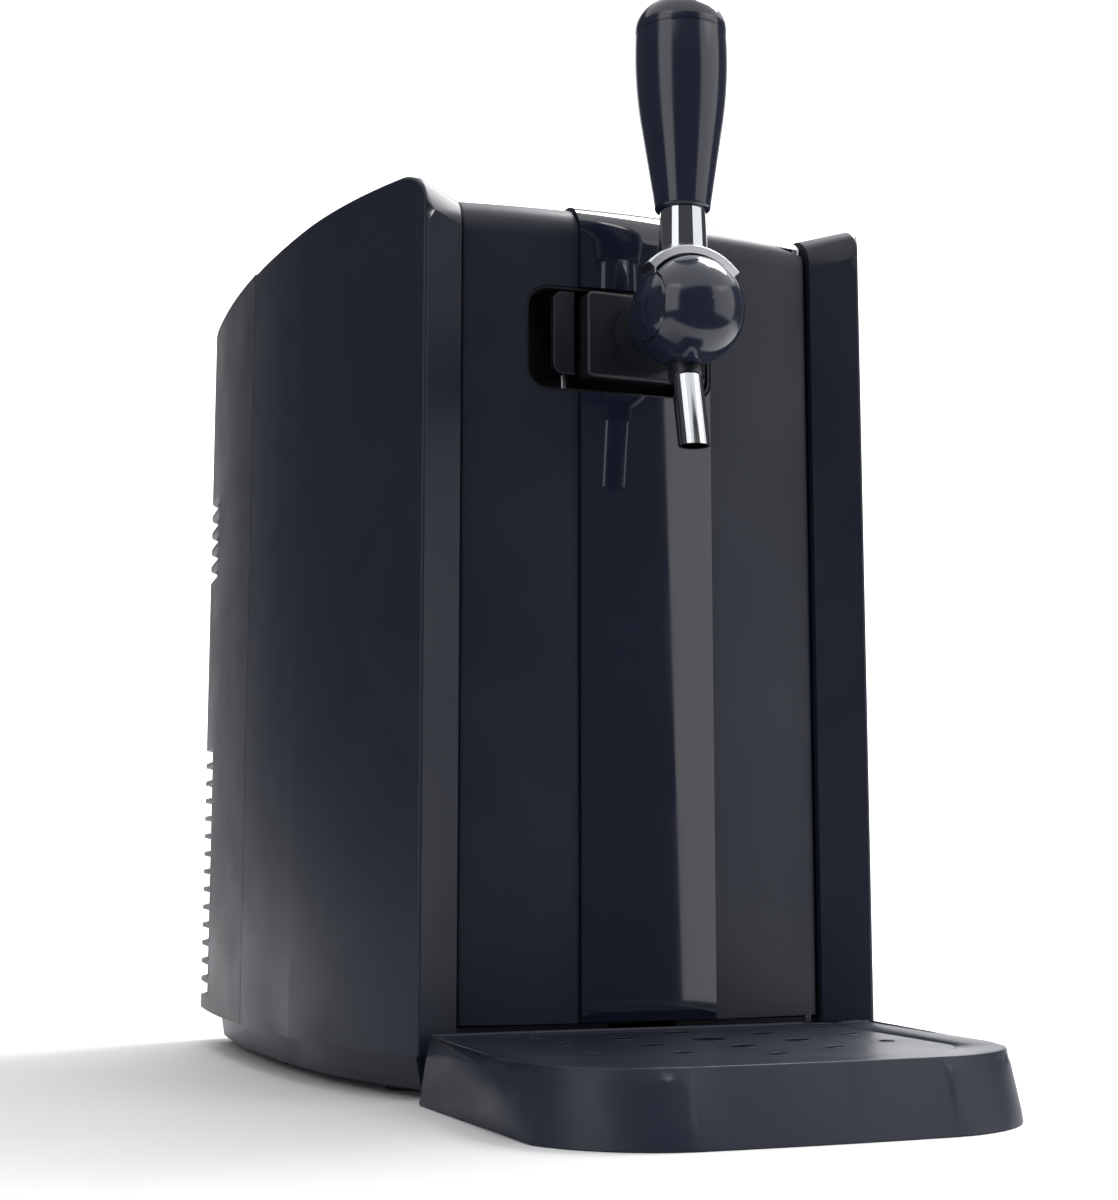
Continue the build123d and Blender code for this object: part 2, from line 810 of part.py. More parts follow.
def control_board():
    """Circuit board with a relay, a chip and two capacitors."""
    top = floor_z + board_height + board_thickness
    x0, y0, middle_y = board_x, board_y, board_y + board_depth / 2
    x1, y1 = board_x + board_width, board_y + board_depth
    solid = block(x0, x1, y0, y1, floor_z + board_height, top)
    relay_x = x0 + component_gap
    solid += block(relay_x, relay_x + relay_side, middle_y - relay_side / 2,
                   middle_y + relay_side / 2, top, top + relay_height)
    chip_x = x1 - component_gap
    solid += block(chip_x - chip_side, chip_x, middle_y - chip_side / 2, middle_y + chip_side / 2,
                   top, top + chip_height)
    for share in (0.5, 0.62):
        solid += rod_z(top, top + capacitor_height, x0 + board_width * share,
                       y1 - component_gap - capacitor_radius, capacitor_radius)
    return solid


def air_pump():
    """Membrane pump: a box with its round motor lying on top, and a hose nozzle."""
    x = pump_side_gap + pump_width / 2 - cabinet_half
    y0, y1 = pump_y - pump_length / 2, pump_y + pump_length / 2
    base_top = floor_z + pump_base_height
    solid = block(x - pump_width / 2, x + pump_width / 2, y0, y1, floor_z, base_top)
    motor_z = base_top + motor_radius / 2
    solid += rod_y(y0 + motor_inset, y1 - motor_inset, x, motor_z, motor_radius)
    return solid + rod_y(y1, y1 + nozzle_length, x, floor_z + pump_base_height / 2, nozzle_radius)


# Hinge

def hinge_bracket():
    """Steel tongue from behind the frame, with a round knuckle over the door's upper corner."""
    z0, z1 = tongue_z, tongue_z + tongue_thickness
    half = knuckle_radius
    solid = block(hinge_x - half, hinge_x + half, hinge_y, frame_back, z0, z1)
    solid += rod_z(z0, z1, hinge_x, hinge_y, knuckle_radius)
    left = hinge_x - tongue_width / 2
    right = jamb_x - running_gap
    solid += block(left, right, frame_y, frame_back + 22, z0, z1)
    solid += block(left, right, frame_back, frame_back + tongue_thickness, z0 - 16, z0 + 1)
    return solid - rod_z(z0 - 1, z1 + 1, hinge_x, hinge_y, upper_pin_radius)


def hinge_pin_upper():
    return rod_z(tongue_z - pin_reach, tongue_z + tongue_thickness, hinge_x, hinge_y,
                 upper_pin_radius)


def hinge_pin_lower():
    return rod_z(cabinet_bottom, door_bottom + pin_reach, hinge_x, hinge_y, lower_pin_radius)


# Door

def door_form(inset, back, front_only=False):
    """The door as a full form, drawn in by inset: bowed front, rounded top."""
    edge_front = door_half - (0 if front_only else inset)
    edge_back = edge_front - door_taper
    front = ThreePointArc((-edge_front, inset), (0, inset - door_bow), (edge_front, inset))
    rest = Polyline((edge_front, inset), (edge_back, back), (-edge_back, back), (-edge_front, inset))
    bottom = door_bottom + (0 if front_only else inset)
    solid = upright(make_face([front, rest]), bottom, door_top - inset)
    top_edge = solid.faces().sort_by(Axis.Z)[-1].edges().sort_by(Axis.Y)[0]
    return fillet(top_edge, door_top_radius - inset)


def pocket_view(grow):
    radius = pocket_corner + grow
    return rectangle(pocket_left - grow, pocket_right + grow, pocket_bottom - grow,
                     pocket_top + grow, radius)


def tongue_slot():
    """Room for the hinge tongue, open to the back and to the hinge side."""
    z0, z1 = tongue_z - tongue_slot_gap, tongue_z + tongue_thickness + tongue_slot_gap
    front = hinge_y - knuckle_radius - 0.2
    return block(hinge_x - tongue_width, jamb_x + 1, front, door_depth + 1, z0, z1)


def door_panel():
    solid = door_form(0, door_depth)
    edges = [
        e
        for e in solid.edges().filter_by(Axis.Z)
        if abs(e.center().Y) < 0.5 and abs(e.center().X) > door_half - 0.5
    ]
    solid = fillet(edges, door_edge_radius)
    hollow = door_form(wall, door_depth + 1)
    # Blocks in the two right-hand corners hold the hinge pins.
    boss_left = hinge_x - 8
    for z0, z1 in ((door_bottom, door_bottom + pin_reach + 2),
                   (tongue_z - pin_reach - 3, tongue_z - tongue_slot_gap)):
        hollow -= block(boss_left, door_half, -1, hinge_y + 9, z0, z1)
    solid -= hollow
    groove = door_form(-strip_proud - 1, door_depth + 1, True)
    groove -= door_form(strip_sunk, door_depth + 2, True)
    solid -= groove & block(-strip_half - strip_gap, strip_half + strip_gap, -far, far, 0, far)
    solid -= through(pocket_view(0), -far, pocket_back)
    solid -= tongue_slot()
    solid -= rod_z(door_bottom - 1, door_bottom + pin_reach + 0.5, hinge_x, hinge_y,
                   lower_pin_radius + pin_clearance)
    return solid - rod_z(tongue_z - pin_reach - 0.5, tongue_z, hinge_x, hinge_y,
                         upper_pin_radius + pin_clearance)


def centre_strip():
    """Gloss strip, let into the door's front and carried over its rounded top."""
    solid = door_form(-strip_proud, door_depth, True) - door_form(strip_sunk, door_depth + 1, True)
    foot = door_bottom + running_gap
    solid &= block(-strip_half, strip_half, -far, far, foot, far)
    lead = -door_bow - strip_proud
    bevel = Polygon(
        (lead - 1, foot - 1),
        (lead + strip_foot_depth, foot - 1),
        (lead + strip_foot_depth, foot),
        (lead, foot + strip_foot_height),
        (lead - 1, foot + strip_foot_height),
        align=None,
    )
    solid -= across(bevel, -strip_half - 1, strip_half + 1)
    return solid - through(pocket_view(0), -far, pocket_back)


def liner_edge():
    return door_half - door_taper - wall - running_gap


def door_liner():
    """Inner plate of the door, with windows for the magnet, the hinge tongue and the beer tube."""
    edge = liner_edge()
    solid = block(-edge, edge, door_depth - wall, door_depth, door_bottom + wall + running_gap,
                  door_top - wall - running_gap)
    solid -= magnet_block(2, slider_travel + 1)
    solid -= tongue_slot()
    return solid - rod_y(0, door_depth + 1, 0, tube_z, tube_radius + 0.1)


def door_seal():
    half = door_half - door_taper - 0.3
    z0, z1 = bay_floor - seal_overlap, bay_ceiling + seal_overlap
    ring = rectangle(-half, half, z0, z1, 10)
    ring -= rectangle(-half + seal_width, half - seal_width, z0 + seal_width, z1 - seal_width, 6)
    return through(ring, door_depth, frame_y - seal_gap)


def pocket_liner():
    """Black tub behind the pocket's opening; its rim follows the door's bow."""
    outer = through(pocket_view(-running_gap), -far / 4, pocket_back)
    outer &= door_form(pocket_rim, door_depth, True)
    shell = outer - through(pocket_view(-running_gap - pocket_wall), -far / 4,
                            pocket_back - pocket_wall)
    reach = lever_tail_height / 2 + 1
    sweep_room = lever_tail_width / 2 + 4.5
    shell -= block(lever_pin_x - sweep_room, lever_pin_x + 3, 0, pocket_back + 1, lever_z - reach,
                   lever_z + reach)
    shell -= rod_y(0, pocket_back + 1, 0, tube_z, tube_radius + 0.1)
    return shell


# Release lever: pulled forward, it slides the magnet off its strike

def lever_ends():
    return pocket_bottom + running_gap + pocket_wall, pocket_top - running_gap - pocket_wall


def latch_lever():
    plate = rectangle(lever_left, lever_right, lever_bottom, lever_top)
    corners = plate.vertices().sort_by(Axis.X)[:2]
    plate = fillet(corners, lever_corner)
    solid = through(plate, lever_front, lever_front + lever_thickness)
    solid = fillet(solid.faces().sort_by(Axis.Y)[0].edges(), lever_edge_radius)
    z0, z1 = lever_bottom + 4, lever_top - 4
    solid += rod_z(z0, z1, lever_pin_x, lever_pin_y, lever_barrel_radius)
    solid += block(lever_pin_x - 1.5, lever_pin_x + 1.5, lever_front + 1, lever_pin_y, z0, z1)
    half, reach = lever_tail_width / 2, lever_tail_height / 2
    solid += block(lever_pin_x - half, lever_pin_x + half, lever_pin_y, lever_tail_back,
                   lever_z - reach, lever_z + reach)
    return solid - rod_z(z0 - 1, z1 + 1, lever_pin_x, lever_pin_y, lever_pin_radius + pin_clearance)


def latch_pin():
    z0, z1 = lever_ends()
    return rod_z(z0, z1, lever_pin_x, lever_pin_y, lever_pin_radius)


def magnet_slider():
    half = slider_height / 2
    solid = block(magnet_left, slider_end, slider_front, slider_back, lever_z - half, lever_z + half)
    riser = block(magnet_left, magnet_left + magnet_side, slider_front, slider_back, lever_z,
                  magnet_z + magnet_side / 2)
    solid += riser
    slot_half = slider_slot / 2
    reach = lever_tail_height / 2 + 0.4
    return solid - block(lever_pin_x - slot_half, lever_pin_x + slot_half, slider_front - 1,
                         slider_back + 1, lever_z - reach, lever_z + reach)


def magnet_block(grow, travel=0.0):
    reach = magnet_side / 2 + grow
    return block(magnet_left - travel - grow, magnet_left + magnet_side + grow, slider_back,
                 frame_y - magnet_gap, magnet_z - reach, magnet_z + reach)


# Tap carrier, neck and ball

def tap_carrier():
    view = rectangle(carrier_left, carrier_right, carrier_bottom, carrier_top, carrier_edge)
    back = pocket_back - pocket_wall
    solid = through(view, carrier_front, back)
    front_edges = solid.faces().sort_by(Axis.Y)[0].edges()
    solid = fillet(front_edges, carrier_edge - 1)
    return solid - rod_y(carrier_front - 1, back + 1, 0, tube_z, tube_radius + 0.1)


def tap_neck():
    """Dark cone from the carrier to the back of the ball."""
    sections = [
        Plane.XZ.offset(-carrier_front) * Pos(0, ball_z) * Circle(neck_back_radius),
        Plane.XZ.offset(-neck_y) * Pos(0, ball_z) * Circle(neck_front_radius),
    ]
    solid = loft(sections, ruled=True)
    return solid - rod_y(neck_y - 1, carrier_front + 1, 0, tube_z, tube_radius + 0.1)


def ball_form(grow=0.0):
    """Round in front and drawn out like an egg behind, turned about the Y axis."""
    reach = neck_y - ball_y
    radius = ball_radius + grow
    front = CenterArc((0, 0), radius, 0, -90)
    tail = TangentArc((radius, 0), (ball_end_radius + grow, reach), tangent=(0, 1))
    closing = Polyline(tail @ 1, (0, reach), (0, -radius))
    return Pos(0, ball_y, ball_z) * revolve(make_face([front, tail, closing]), Axis.Y, 360)


def along_spout(start, length, radius):
    """Round bar on the spout's leaning axis, counted from its mouth."""
    foot = Pos(0, spout_mouth_y, spout_mouth_z) * Rot(-spout_lean, 0, 0)
    return foot * Pos(0, 0, start + length / 2) * Cylinder(radius, length)


def tap_body():
    solid = ball_form() & block(-cap_seam, cap_seam, -far, far, 0, far)
    solid -= rod_x(-cap_seam - 1, cap_seam + 1, ball_y, ball_z, shaft_radius + pin_clearance)
    cam_reach = cam_radius + cam_offset + cam_room
    solid -= rod_x(-cam_half - cam_room, cam_half + cam_room, ball_y, ball_z, cam_reach)
    solid -= rod_z(chamber_floor, ball_z, 0, ball_y, chamber_radius)
    solid -= rod_z(chamber_floor - 6, ball_z, 0, ball_y, passage_radius)
    solid -= along_spout(-5, spout_length + 5, spout_radius + spout_clearance)
    return solid - rod_y(ball_y, neck_y + 1, 0, tube_z, tube_radius + 0.1)


def tap_side_cap():
    """Right side cap; its inner face is hollowed for the yoke's disc."""
    solid = ball_form() & block(cap_seam, far, -far, far, 0, far)
    solid -= rod_x(cap_seam - 1, cap_face, ball_y, ball_z, disc_recess_radius)
    return solid - rod_x(cap_seam - 1, shaft_half + 0.2, ball_y, ball_z,
                         shaft_radius + pin_clearance)


def spout():
    tube = along_spout(-5, spout_length + 5, spout_radius)
    tube -= along_spout(-6, spout_length + 8, spout_radius - spout_wall)
    return tube - block(-far, far, -far, 0, 0, spout_mouth_z)


def spout_collar():
    ring = along_spout(collar_start, collar_length, collar_radius)
    ring -= along_spout(collar_start - 1, collar_length + 2, spout_radius + spout_clearance)
    return ring - ball_form(pin_clearance)


def beer_tube():
    ring = Circle(tube_radius) - Circle(tube_radius - tube_wall)
    return through(Pos(0, tube_z) * ring, tube_front, tube_back)


def keg_connector():
    ring = Circle(connector_radius) - Circle(tube_radius)
    return through(Pos(0, tube_z) * ring, door_depth, door_depth + connector_length)


# Valve inside the ball

def spool_top():
    return ball_z - cam_radius - spool_clearance


def valve_spool():
    top = spool_top()
    return rod_z(top - spool_height, top, 0, ball_y, chamber_radius - spool_clearance)


def valve_spring():
    """Open coil between the chamber's floor and the spool."""
    height = spool_top() - spool_height - chamber_floor - spring_wire - 0.2
    foot = Pos(0, ball_y, chamber_floor + spring_wire / 2 + 0.1)
    coil = Helix(pitch=height / spring_turns, height=height, radius=spring_radius - spring_wire / 2)
    start = Plane(coil @ 0, z_dir=coil % 0)
    return foot * sweep(start * Circle(spring_wire / 2), path=coil)


# Handle and yoke, built about the ball's centre and then leant back

def on_ball(solid):
    return Pos(0, ball_y, ball_z) * Rot(-lever_lean, 0, 0) * solid


def on_handle(solid):
    return on_ball(Pos(0, handle_back, 0) * solid)


def saddle_yoke():
    """Strap over the ball, carried by two thin discs in the seams beside the side caps."""
    shell = Sphere(saddle_outer) - Sphere(saddle_inner)
    width = block(-far, far, -saddle_front, saddle_rear, 0, far)
    spread = far * tan(radians(saddle_half_angle))
    wedge = through(Polygon((0, 0), (spread, far), (-spread, far), align=None), -far, far)
    solid = shell & width & wedge
    outer_face = solid.faces().sort_by(lambda face: face.area)[-1]
    solid = fillet(outer_face.edges(), saddle_edge_radius)
    solid += rod_z(saddle_inner, pad_top, 0, handle_back, ferrule_foot_radius)
    inner, outer = cap_seam + disc_gap, cap_seam + disc_gap + disc_thickness
    arm = rod_x(inner, outer, 0, 0, disc_radius)
    arm += block(inner, outer, -arm_half, arm_half, 0, saddle_inner - 8)
    arm -= rod_x(inner - 1, outer + 1, 0, 0, shaft_radius)
    solid += both_sides(arm)
    solid -= rod_z(0, far, 0, handle_back, stud_radius)
    return on_ball(solid)


def pivot_shaft():
    """Shaft through the ball; its cam pushes the valve spool down as the handle tips."""
    solid = rod_x(-shaft_half, shaft_half, 0, 0, shaft_radius)
    solid += rod_x(-cam_half, cam_half, -cam_offset, 0, cam_radius)
    return Pos(0, ball_y, ball_z) * solid


def handle_stud():
    return on_handle(rod_z(saddle_inner, stud_top, 0, 0, stud_radius))


def handle_ferrule():
    """Chrome sleeve that stands on the saddle's pad."""
    sleeve = Pos(0, 0, (pad_top + ferrule_top) / 2) * Cone(
        ferrule_foot_radius, ferrule_head_radius, ferrule_top - pad_top
    )
    return on_handle(sleeve - rod_z(0, far, 0, 0, stud_radius))


def turned(points_and_arcs):
    return revolve(Plane.XZ * make_face(points_and_arcs), Axis.Z, 360)


def handle_grip():
    """Grip with a straight taper that swells into its widest ring."""
    top = cap_bottom - handle_seam
    foot = Polyline((stud_radius, top), (stud_radius, grip_bottom),
                    (grip_foot_radius - grip_lip, grip_bottom))
    lip = RadiusArc((grip_foot_radius - grip_lip, grip_bottom),
                    (grip_foot_radius, grip_bottom + grip_lip), -grip_lip)
    taper = Line((grip_foot_radius, grip_bottom + grip_lip), (grip_taper_radius, grip_taper_top))
    swell = TangentArc((grip_taper_radius, grip_taper_top), (grip_radius, grip_full),
                       tangent=taper % 1)
    rest = Polyline(swell @ 1, (swell @ 1).X * Vector(1, 0) + Vector(0, top), (stud_radius, top))
    solid = turned([foot, lip, taper, swell, rest])
    return on_handle(solid + rod_z(stud_top + 0.5, top, 0, 0, stud_radius + 1))


def handle_cap():
    """Domed cap: a rounded edge that runs into a flatter crown."""
    turn = radians(crown_turn)
    edge_x = grip_radius - crown_edge_radius * (1 - cos(turn))
    edge_z = crown_start + crown_edge_radius * sin(turn)
    dome_radius = edge_x / cos(turn)
    middle = radians(crown_turn / 2)
    half_way = (
        grip_radius - crown_edge_radius * (1 - cos(middle)),
        crown_start + crown_edge_radius * sin(middle),
    )
    edge = ThreePointArc((grip_radius, crown_start), half_way, (edge_x, edge_z))
    dome_centre = edge_z - dome_radius * sin(turn)
    lean = radians((90 + crown_turn) / 2)
    dome = ThreePointArc(
        (edge_x, edge_z),
        (dome_radius * cos(lean), dome_centre + dome_radius * sin(lean)),
        (0, dome_centre + dome_radius),
    )
    rest = Polyline(dome @ 1, (0, cap_bottom), (grip_radius, cap_bottom), (grip_radius, crown_start))
    return on_handle(turned([edge, dome, rest]))


# Drip tray

def tray_plan(half, back, front, corner, bow):
    nose = ThreePointArc((-half, front), (0, front - bow), (half, front))
    rest = Polyline((half, front), (half, back), (-half, back), (-half, front))
    plan = make_face([nose, rest])
    front_corners = [v for v in plan.vertices() if abs(v.Y - front) < 0.01]
    return fillet(front_corners, corner)


def tray_form(inset, z0, z1):
    """Drafted tray between two heights, drawn in by inset."""
    def outline(z):
        share = (z - tray_bottom) / (tray_top - tray_bottom)

        def between(low, high):
            return low + (high - low) * share

        return Pos(0, 0, z) * tray_plan(
            between(tray_half_bottom, tray_half_top) - inset,
            between(tray_back_bottom, tray_back_top) - inset,
            between(tray_front_bottom, tray_front_top) + inset,
            between(tray_corner_bottom, tray_corner_top) - inset,
            tray_bow,
        )

    return loft([outline(z0), outline(z1)], ruled=True)


def grid_plan(grow):
    return tray_plan(grid_half + grow, grid_back + grow, grid_front - grow, grid_corner + grow,
                     grid_bow)


def tray_hollow():
    """Room inside the tray's rim, open below, in front of the well and beside it."""
    keep_half = grid_half + grid_gap + tray_wall
    hollow = tray_form(tray_wall, tray_bottom - 1, tray_top - tray_wall)
    hollow -= upright(grid_plan(grid_gap + tray_wall), 0, far)
    return hollow - block(-keep_half, keep_half, grid_back, 0, 0, far)


def drip_tray():
    """Tray with a well, a ledge that carries the grid, and a tongue that hooks into the sill."""
    solid = tray_form(0, tray_bottom, tray_top)
    solid = fillet(solid.faces().sort_by(Axis.Z)[-1].edges(), tray_edge_radius)
    solid -= tray_hollow()
    seat = tray_top - grid_thickness
    solid -= upright(grid_plan(grid_gap), seat, tray_top + 1)
    solid -= upright(grid_plan(-grid_ledge), tray_bottom + tray_wall, tray_top)
    solid += block(-tongue_half, tongue_half, tray_back_top - 4, tongue_end, hook_bottom,
                   hook_bottom + hook_height)
    for x, y in pad_places():
        solid -= rod_z(0, pad_height, x, y, pad_radius + running_gap)
    return solid


def pad_places():
    x = tray_half_bottom - pad_side_inset
    front = tray_front_bottom + tray_corner_bottom
    return [(s * x, y) for s in (-1, 1) for y in (tray_back_bottom - pad_end_inset, front)]


def tray_pads():
    return Compound([rod_z(0, pad_height, x, y, pad_radius) for x, y in pad_places()])


def grid_holes():
    """Places and radii of the drain holes: staggered columns, smaller towards the border."""
    middle_y = hole_first_y - hole_row_pitch * (hole_rows - 1) / 2
    reach_x = hole_column_pitch * (hole_columns - 1) / 2
    reach_y = hole_row_pitch * (hole_rows - 1) / 2
    holes = []
    for column in range(hole_columns):
        x = (column - (hole_columns - 1) / 2) * hole_column_pitch
        odd = column % 2
        for row in range(hole_rows - odd):
            y = hole_first_y - (row + odd / 2) * hole_row_pitch
            share = sqrt(((x / reach_x) ** 2 + ((y - middle_y) / reach_y) ** 2) / 2)
            radius = hole_centre_radius + (hole_edge_radius - hole_centre_radius) * share
            holes.append((x, y, radius))
    return holes


def drip_grid():
    top = tray_top
    solid = upright(grid_plan(0), top - grid_thickness, top)
    skirt = upright(grid_plan(-grid_ledge - grid_gap), top - grid_thickness - grid_skirt,
                    top - grid_thickness + 0.5)
    skirt -= upright(grid_plan(-grid_ledge - grid_gap - 1.6), 0, far)
    solid += skirt
    for x, y, radius in grid_holes():
        solid -= rod_z(0, far, x, y, radius)
        solid -= Pos(x, y, top) * Cone(radius, radius + 2 * hole_chamfer, 2 * hole_chamfer)
    return solid


def write_all():
    os.makedirs("parts", exist_ok=True)
    right_shell = side_shell()
    right_cap = tap_side_cap()
    pieces = {
        "base_plinth": base_plinth(),
        "rubber_feet": rubber_feet(),
        "side_shell_right": right_shell,
        "side_shell_left": mirror(right_shell, about=Plane.YZ),
        "roof_panel": roof_panel(),
        "rear_cover": rear_cover(),
        "dust_screen": dust_screen(),
        "cover_screws": cover_screws(),
        "power_inlet": power_inlet(),
        "switch_housing": switch_housing(),
        "power_rocker": power_rocker(),
        "front_sill": front_sill(),
        "front_frame": front_frame(),
        "strike_plate": strike_plate(0),
        "bay_liner": bay_liner(),
        "insulation_jacket": insulation_jacket(),
        "keg_cradle": keg_cradle(),
        "cold_plate": cold_plate(),
        "peltier_module": peltier_module(),
        "heat_sink": heat_sink(),
        "fan_frame": fan_frame(),
        "fan_rotor": fan_rotor(),
        "fan_screws": fan_screws(),
        "control_board": control_board(),
        "air_pump": air_pump(),
        "hinge_bracket": hinge_bracket(),
        "hinge_pin_upper": hinge_pin_upper(),
        "hinge_pin_lower": hinge_pin_lower(),
        "door_panel": door_panel(),
        "centre_strip": centre_strip(),
        "door_liner": door_liner(),
        "door_seal": door_seal(),
        "pocket_liner": pocket_liner(),
        "latch_lever": latch_lever(),
        "latch_pin": latch_pin(),
        "magnet_slider": magnet_slider(),
        "latch_magnet": magnet_block(0),
        "tap_carrier": tap_carrier(),
        "tap_neck": tap_neck(),
        "tap_body": tap_body(),
        "tap_side_cap_right": right_cap,
        "tap_side_cap_left": mirror(right_cap, about=Plane.YZ),
        "spout": spout(),
        "spout_collar": spout_collar(),
        "beer_tube": beer_tube(),
        "keg_connector": keg_connector(),
        "valve_spool": valve_spool(),
        "valve_spring": valve_spring(),
        "saddle_yoke": saddle_yoke(),
        "pivot_shaft": pivot_shaft(),
        "handle_stud": handle_stud(),
        "handle_ferrule": handle_ferrule(),
        "handle_grip": handle_grip(),
        "handle_cap": handle_cap(),
        "drip_tray": drip_tray(),
        "tray_pads": tray_pads(),
        "drip_grid": drip_grid(),
    }
    for name, solid in pieces.items():
        placed = Pos(0, -footprint_middle_y, 0) * solid
        export_step(placed, os.path.join("parts", name + ".step"))


write_all()
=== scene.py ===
import json
import math

import bmesh
import bpy
from mathutils import Matrix, Vector


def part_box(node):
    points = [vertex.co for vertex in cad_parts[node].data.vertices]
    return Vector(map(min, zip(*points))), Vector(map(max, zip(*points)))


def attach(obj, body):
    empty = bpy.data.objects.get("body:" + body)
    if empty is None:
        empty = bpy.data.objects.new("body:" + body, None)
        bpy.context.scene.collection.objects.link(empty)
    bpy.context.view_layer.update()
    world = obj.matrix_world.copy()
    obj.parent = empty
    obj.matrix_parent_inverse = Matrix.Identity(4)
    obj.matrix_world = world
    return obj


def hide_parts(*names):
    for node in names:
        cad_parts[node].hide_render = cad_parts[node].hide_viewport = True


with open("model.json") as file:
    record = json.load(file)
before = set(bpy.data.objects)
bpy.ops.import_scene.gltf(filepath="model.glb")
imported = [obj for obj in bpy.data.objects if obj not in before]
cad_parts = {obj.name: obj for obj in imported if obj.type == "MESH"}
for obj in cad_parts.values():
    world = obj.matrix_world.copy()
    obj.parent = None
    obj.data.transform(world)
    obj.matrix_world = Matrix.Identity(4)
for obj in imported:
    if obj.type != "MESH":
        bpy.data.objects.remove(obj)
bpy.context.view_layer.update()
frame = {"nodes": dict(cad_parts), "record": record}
cadNodes = frame["nodes"]
print("frame:", len(cadNodes), "nodes")


def mm(*values):
    return Vector([v / 1000 for v in values])


def srgb(hexCode):
    # a screen colour as linear light
    parts = [int(hexCode[i : i + 2], 16) / 255 for i in (1, 3, 5)]
    return [p / 12.92 if p <= 0.04045 else ((p + 0.055) / 1.055) ** 2.4 for p in parts] + [1.0]


def addNode(tree, kind, settings=None):
    # each setting is a value, a link or a list of links for a socket, or else a node's own option
    node = tree.nodes.new(kind)
    for key, value in (settings or {}).items():
        if not isinstance(key, int) and key not in node.inputs:
            setattr(node, key, value)
            continue
        for item in value if isinstance(value, list) else [value]:
            if isinstance(item, bpy.types.NodeSocket):
                tree.links.new(item, node.inputs[key])
            else:
                node.inputs[key].default_value = item
    return node


# Materials. Sizes of patterns are in millimetres, and each comment says how the surface is made.


def makeMaterial(name, look):
    material = bpy.data.materials.new(name)
    material.use_nodes = True
    tree = material.node_tree
    shader = tree.nodes["Principled BSDF"]
    for socket, value in look.get("shader", {}).items():
        shader.inputs[socket].default_value = value
    place = addNode(tree, "ShaderNodeTexCoord").outputs["Object"]
    drawn = addNode(
        tree, "ShaderNodeMapping", {"Scale": look.get("drawn", (1, 1, 1)), "Vector": place}
    ).outputs["Vector"]
    cloud = addNode(
        tree,
        "ShaderNodeTexNoise",
        {"Scale": 1000 / look["cloud"], "Detail": 3.0, "Roughness": 0.6, "Vector": place},
    )
    tint = addNode(tree, "ShaderNodeMix", {"data_type": "RGBA", "Factor": cloud.outputs["Fac"]})
    ends = [socket for socket in tint.inputs if socket.type == "RGBA"]
    for socket, hexCode in zip(ends, look["colours"]):
        socket.default_value = srgb(hexCode)
    mixed = [socket for socket in tint.outputs if socket.type == "RGBA"][0]
    tree.links.new(mixed, shader.inputs["Base Color"])

    # handling leaves soft patches of slightly different shine
    patch = addNode(
        tree,
        "ShaderNodeTexNoise",
        {"Scale": 1000 / look["patch"], "Detail": 2.0, "Distortion": 0.4, "Vector": drawn},
    )
    low, high = look["roughness"]
    shine = addNode(
        tree,
        "ShaderNodeMapRange",
        {
            "From Min": 0.35,
            "From Max": 0.65,
            "To Min": low,
            "To Max": high,
            "Value": patch.outputs["Fac"],
        },
    )
    tree.links.new(shine.outputs["Result"], shader.inputs["Roughness"])

    kind = look.get("grainKind", "ShaderNodeTexNoise")
    grain = addNode(tree, kind, {"Scale": 1000 / look["grain"], "Vector": drawn})
    bump = addNode(
        tree,
        "ShaderNodeBump",
        {
            "Strength": look["relief"],
            "Distance": look["depth"] / 1000,
            "Height": grain.outputs[0],
        },
    )
    tree.links.new(bump.outputs["Normal"], shader.inputs["Normal"])
    return material


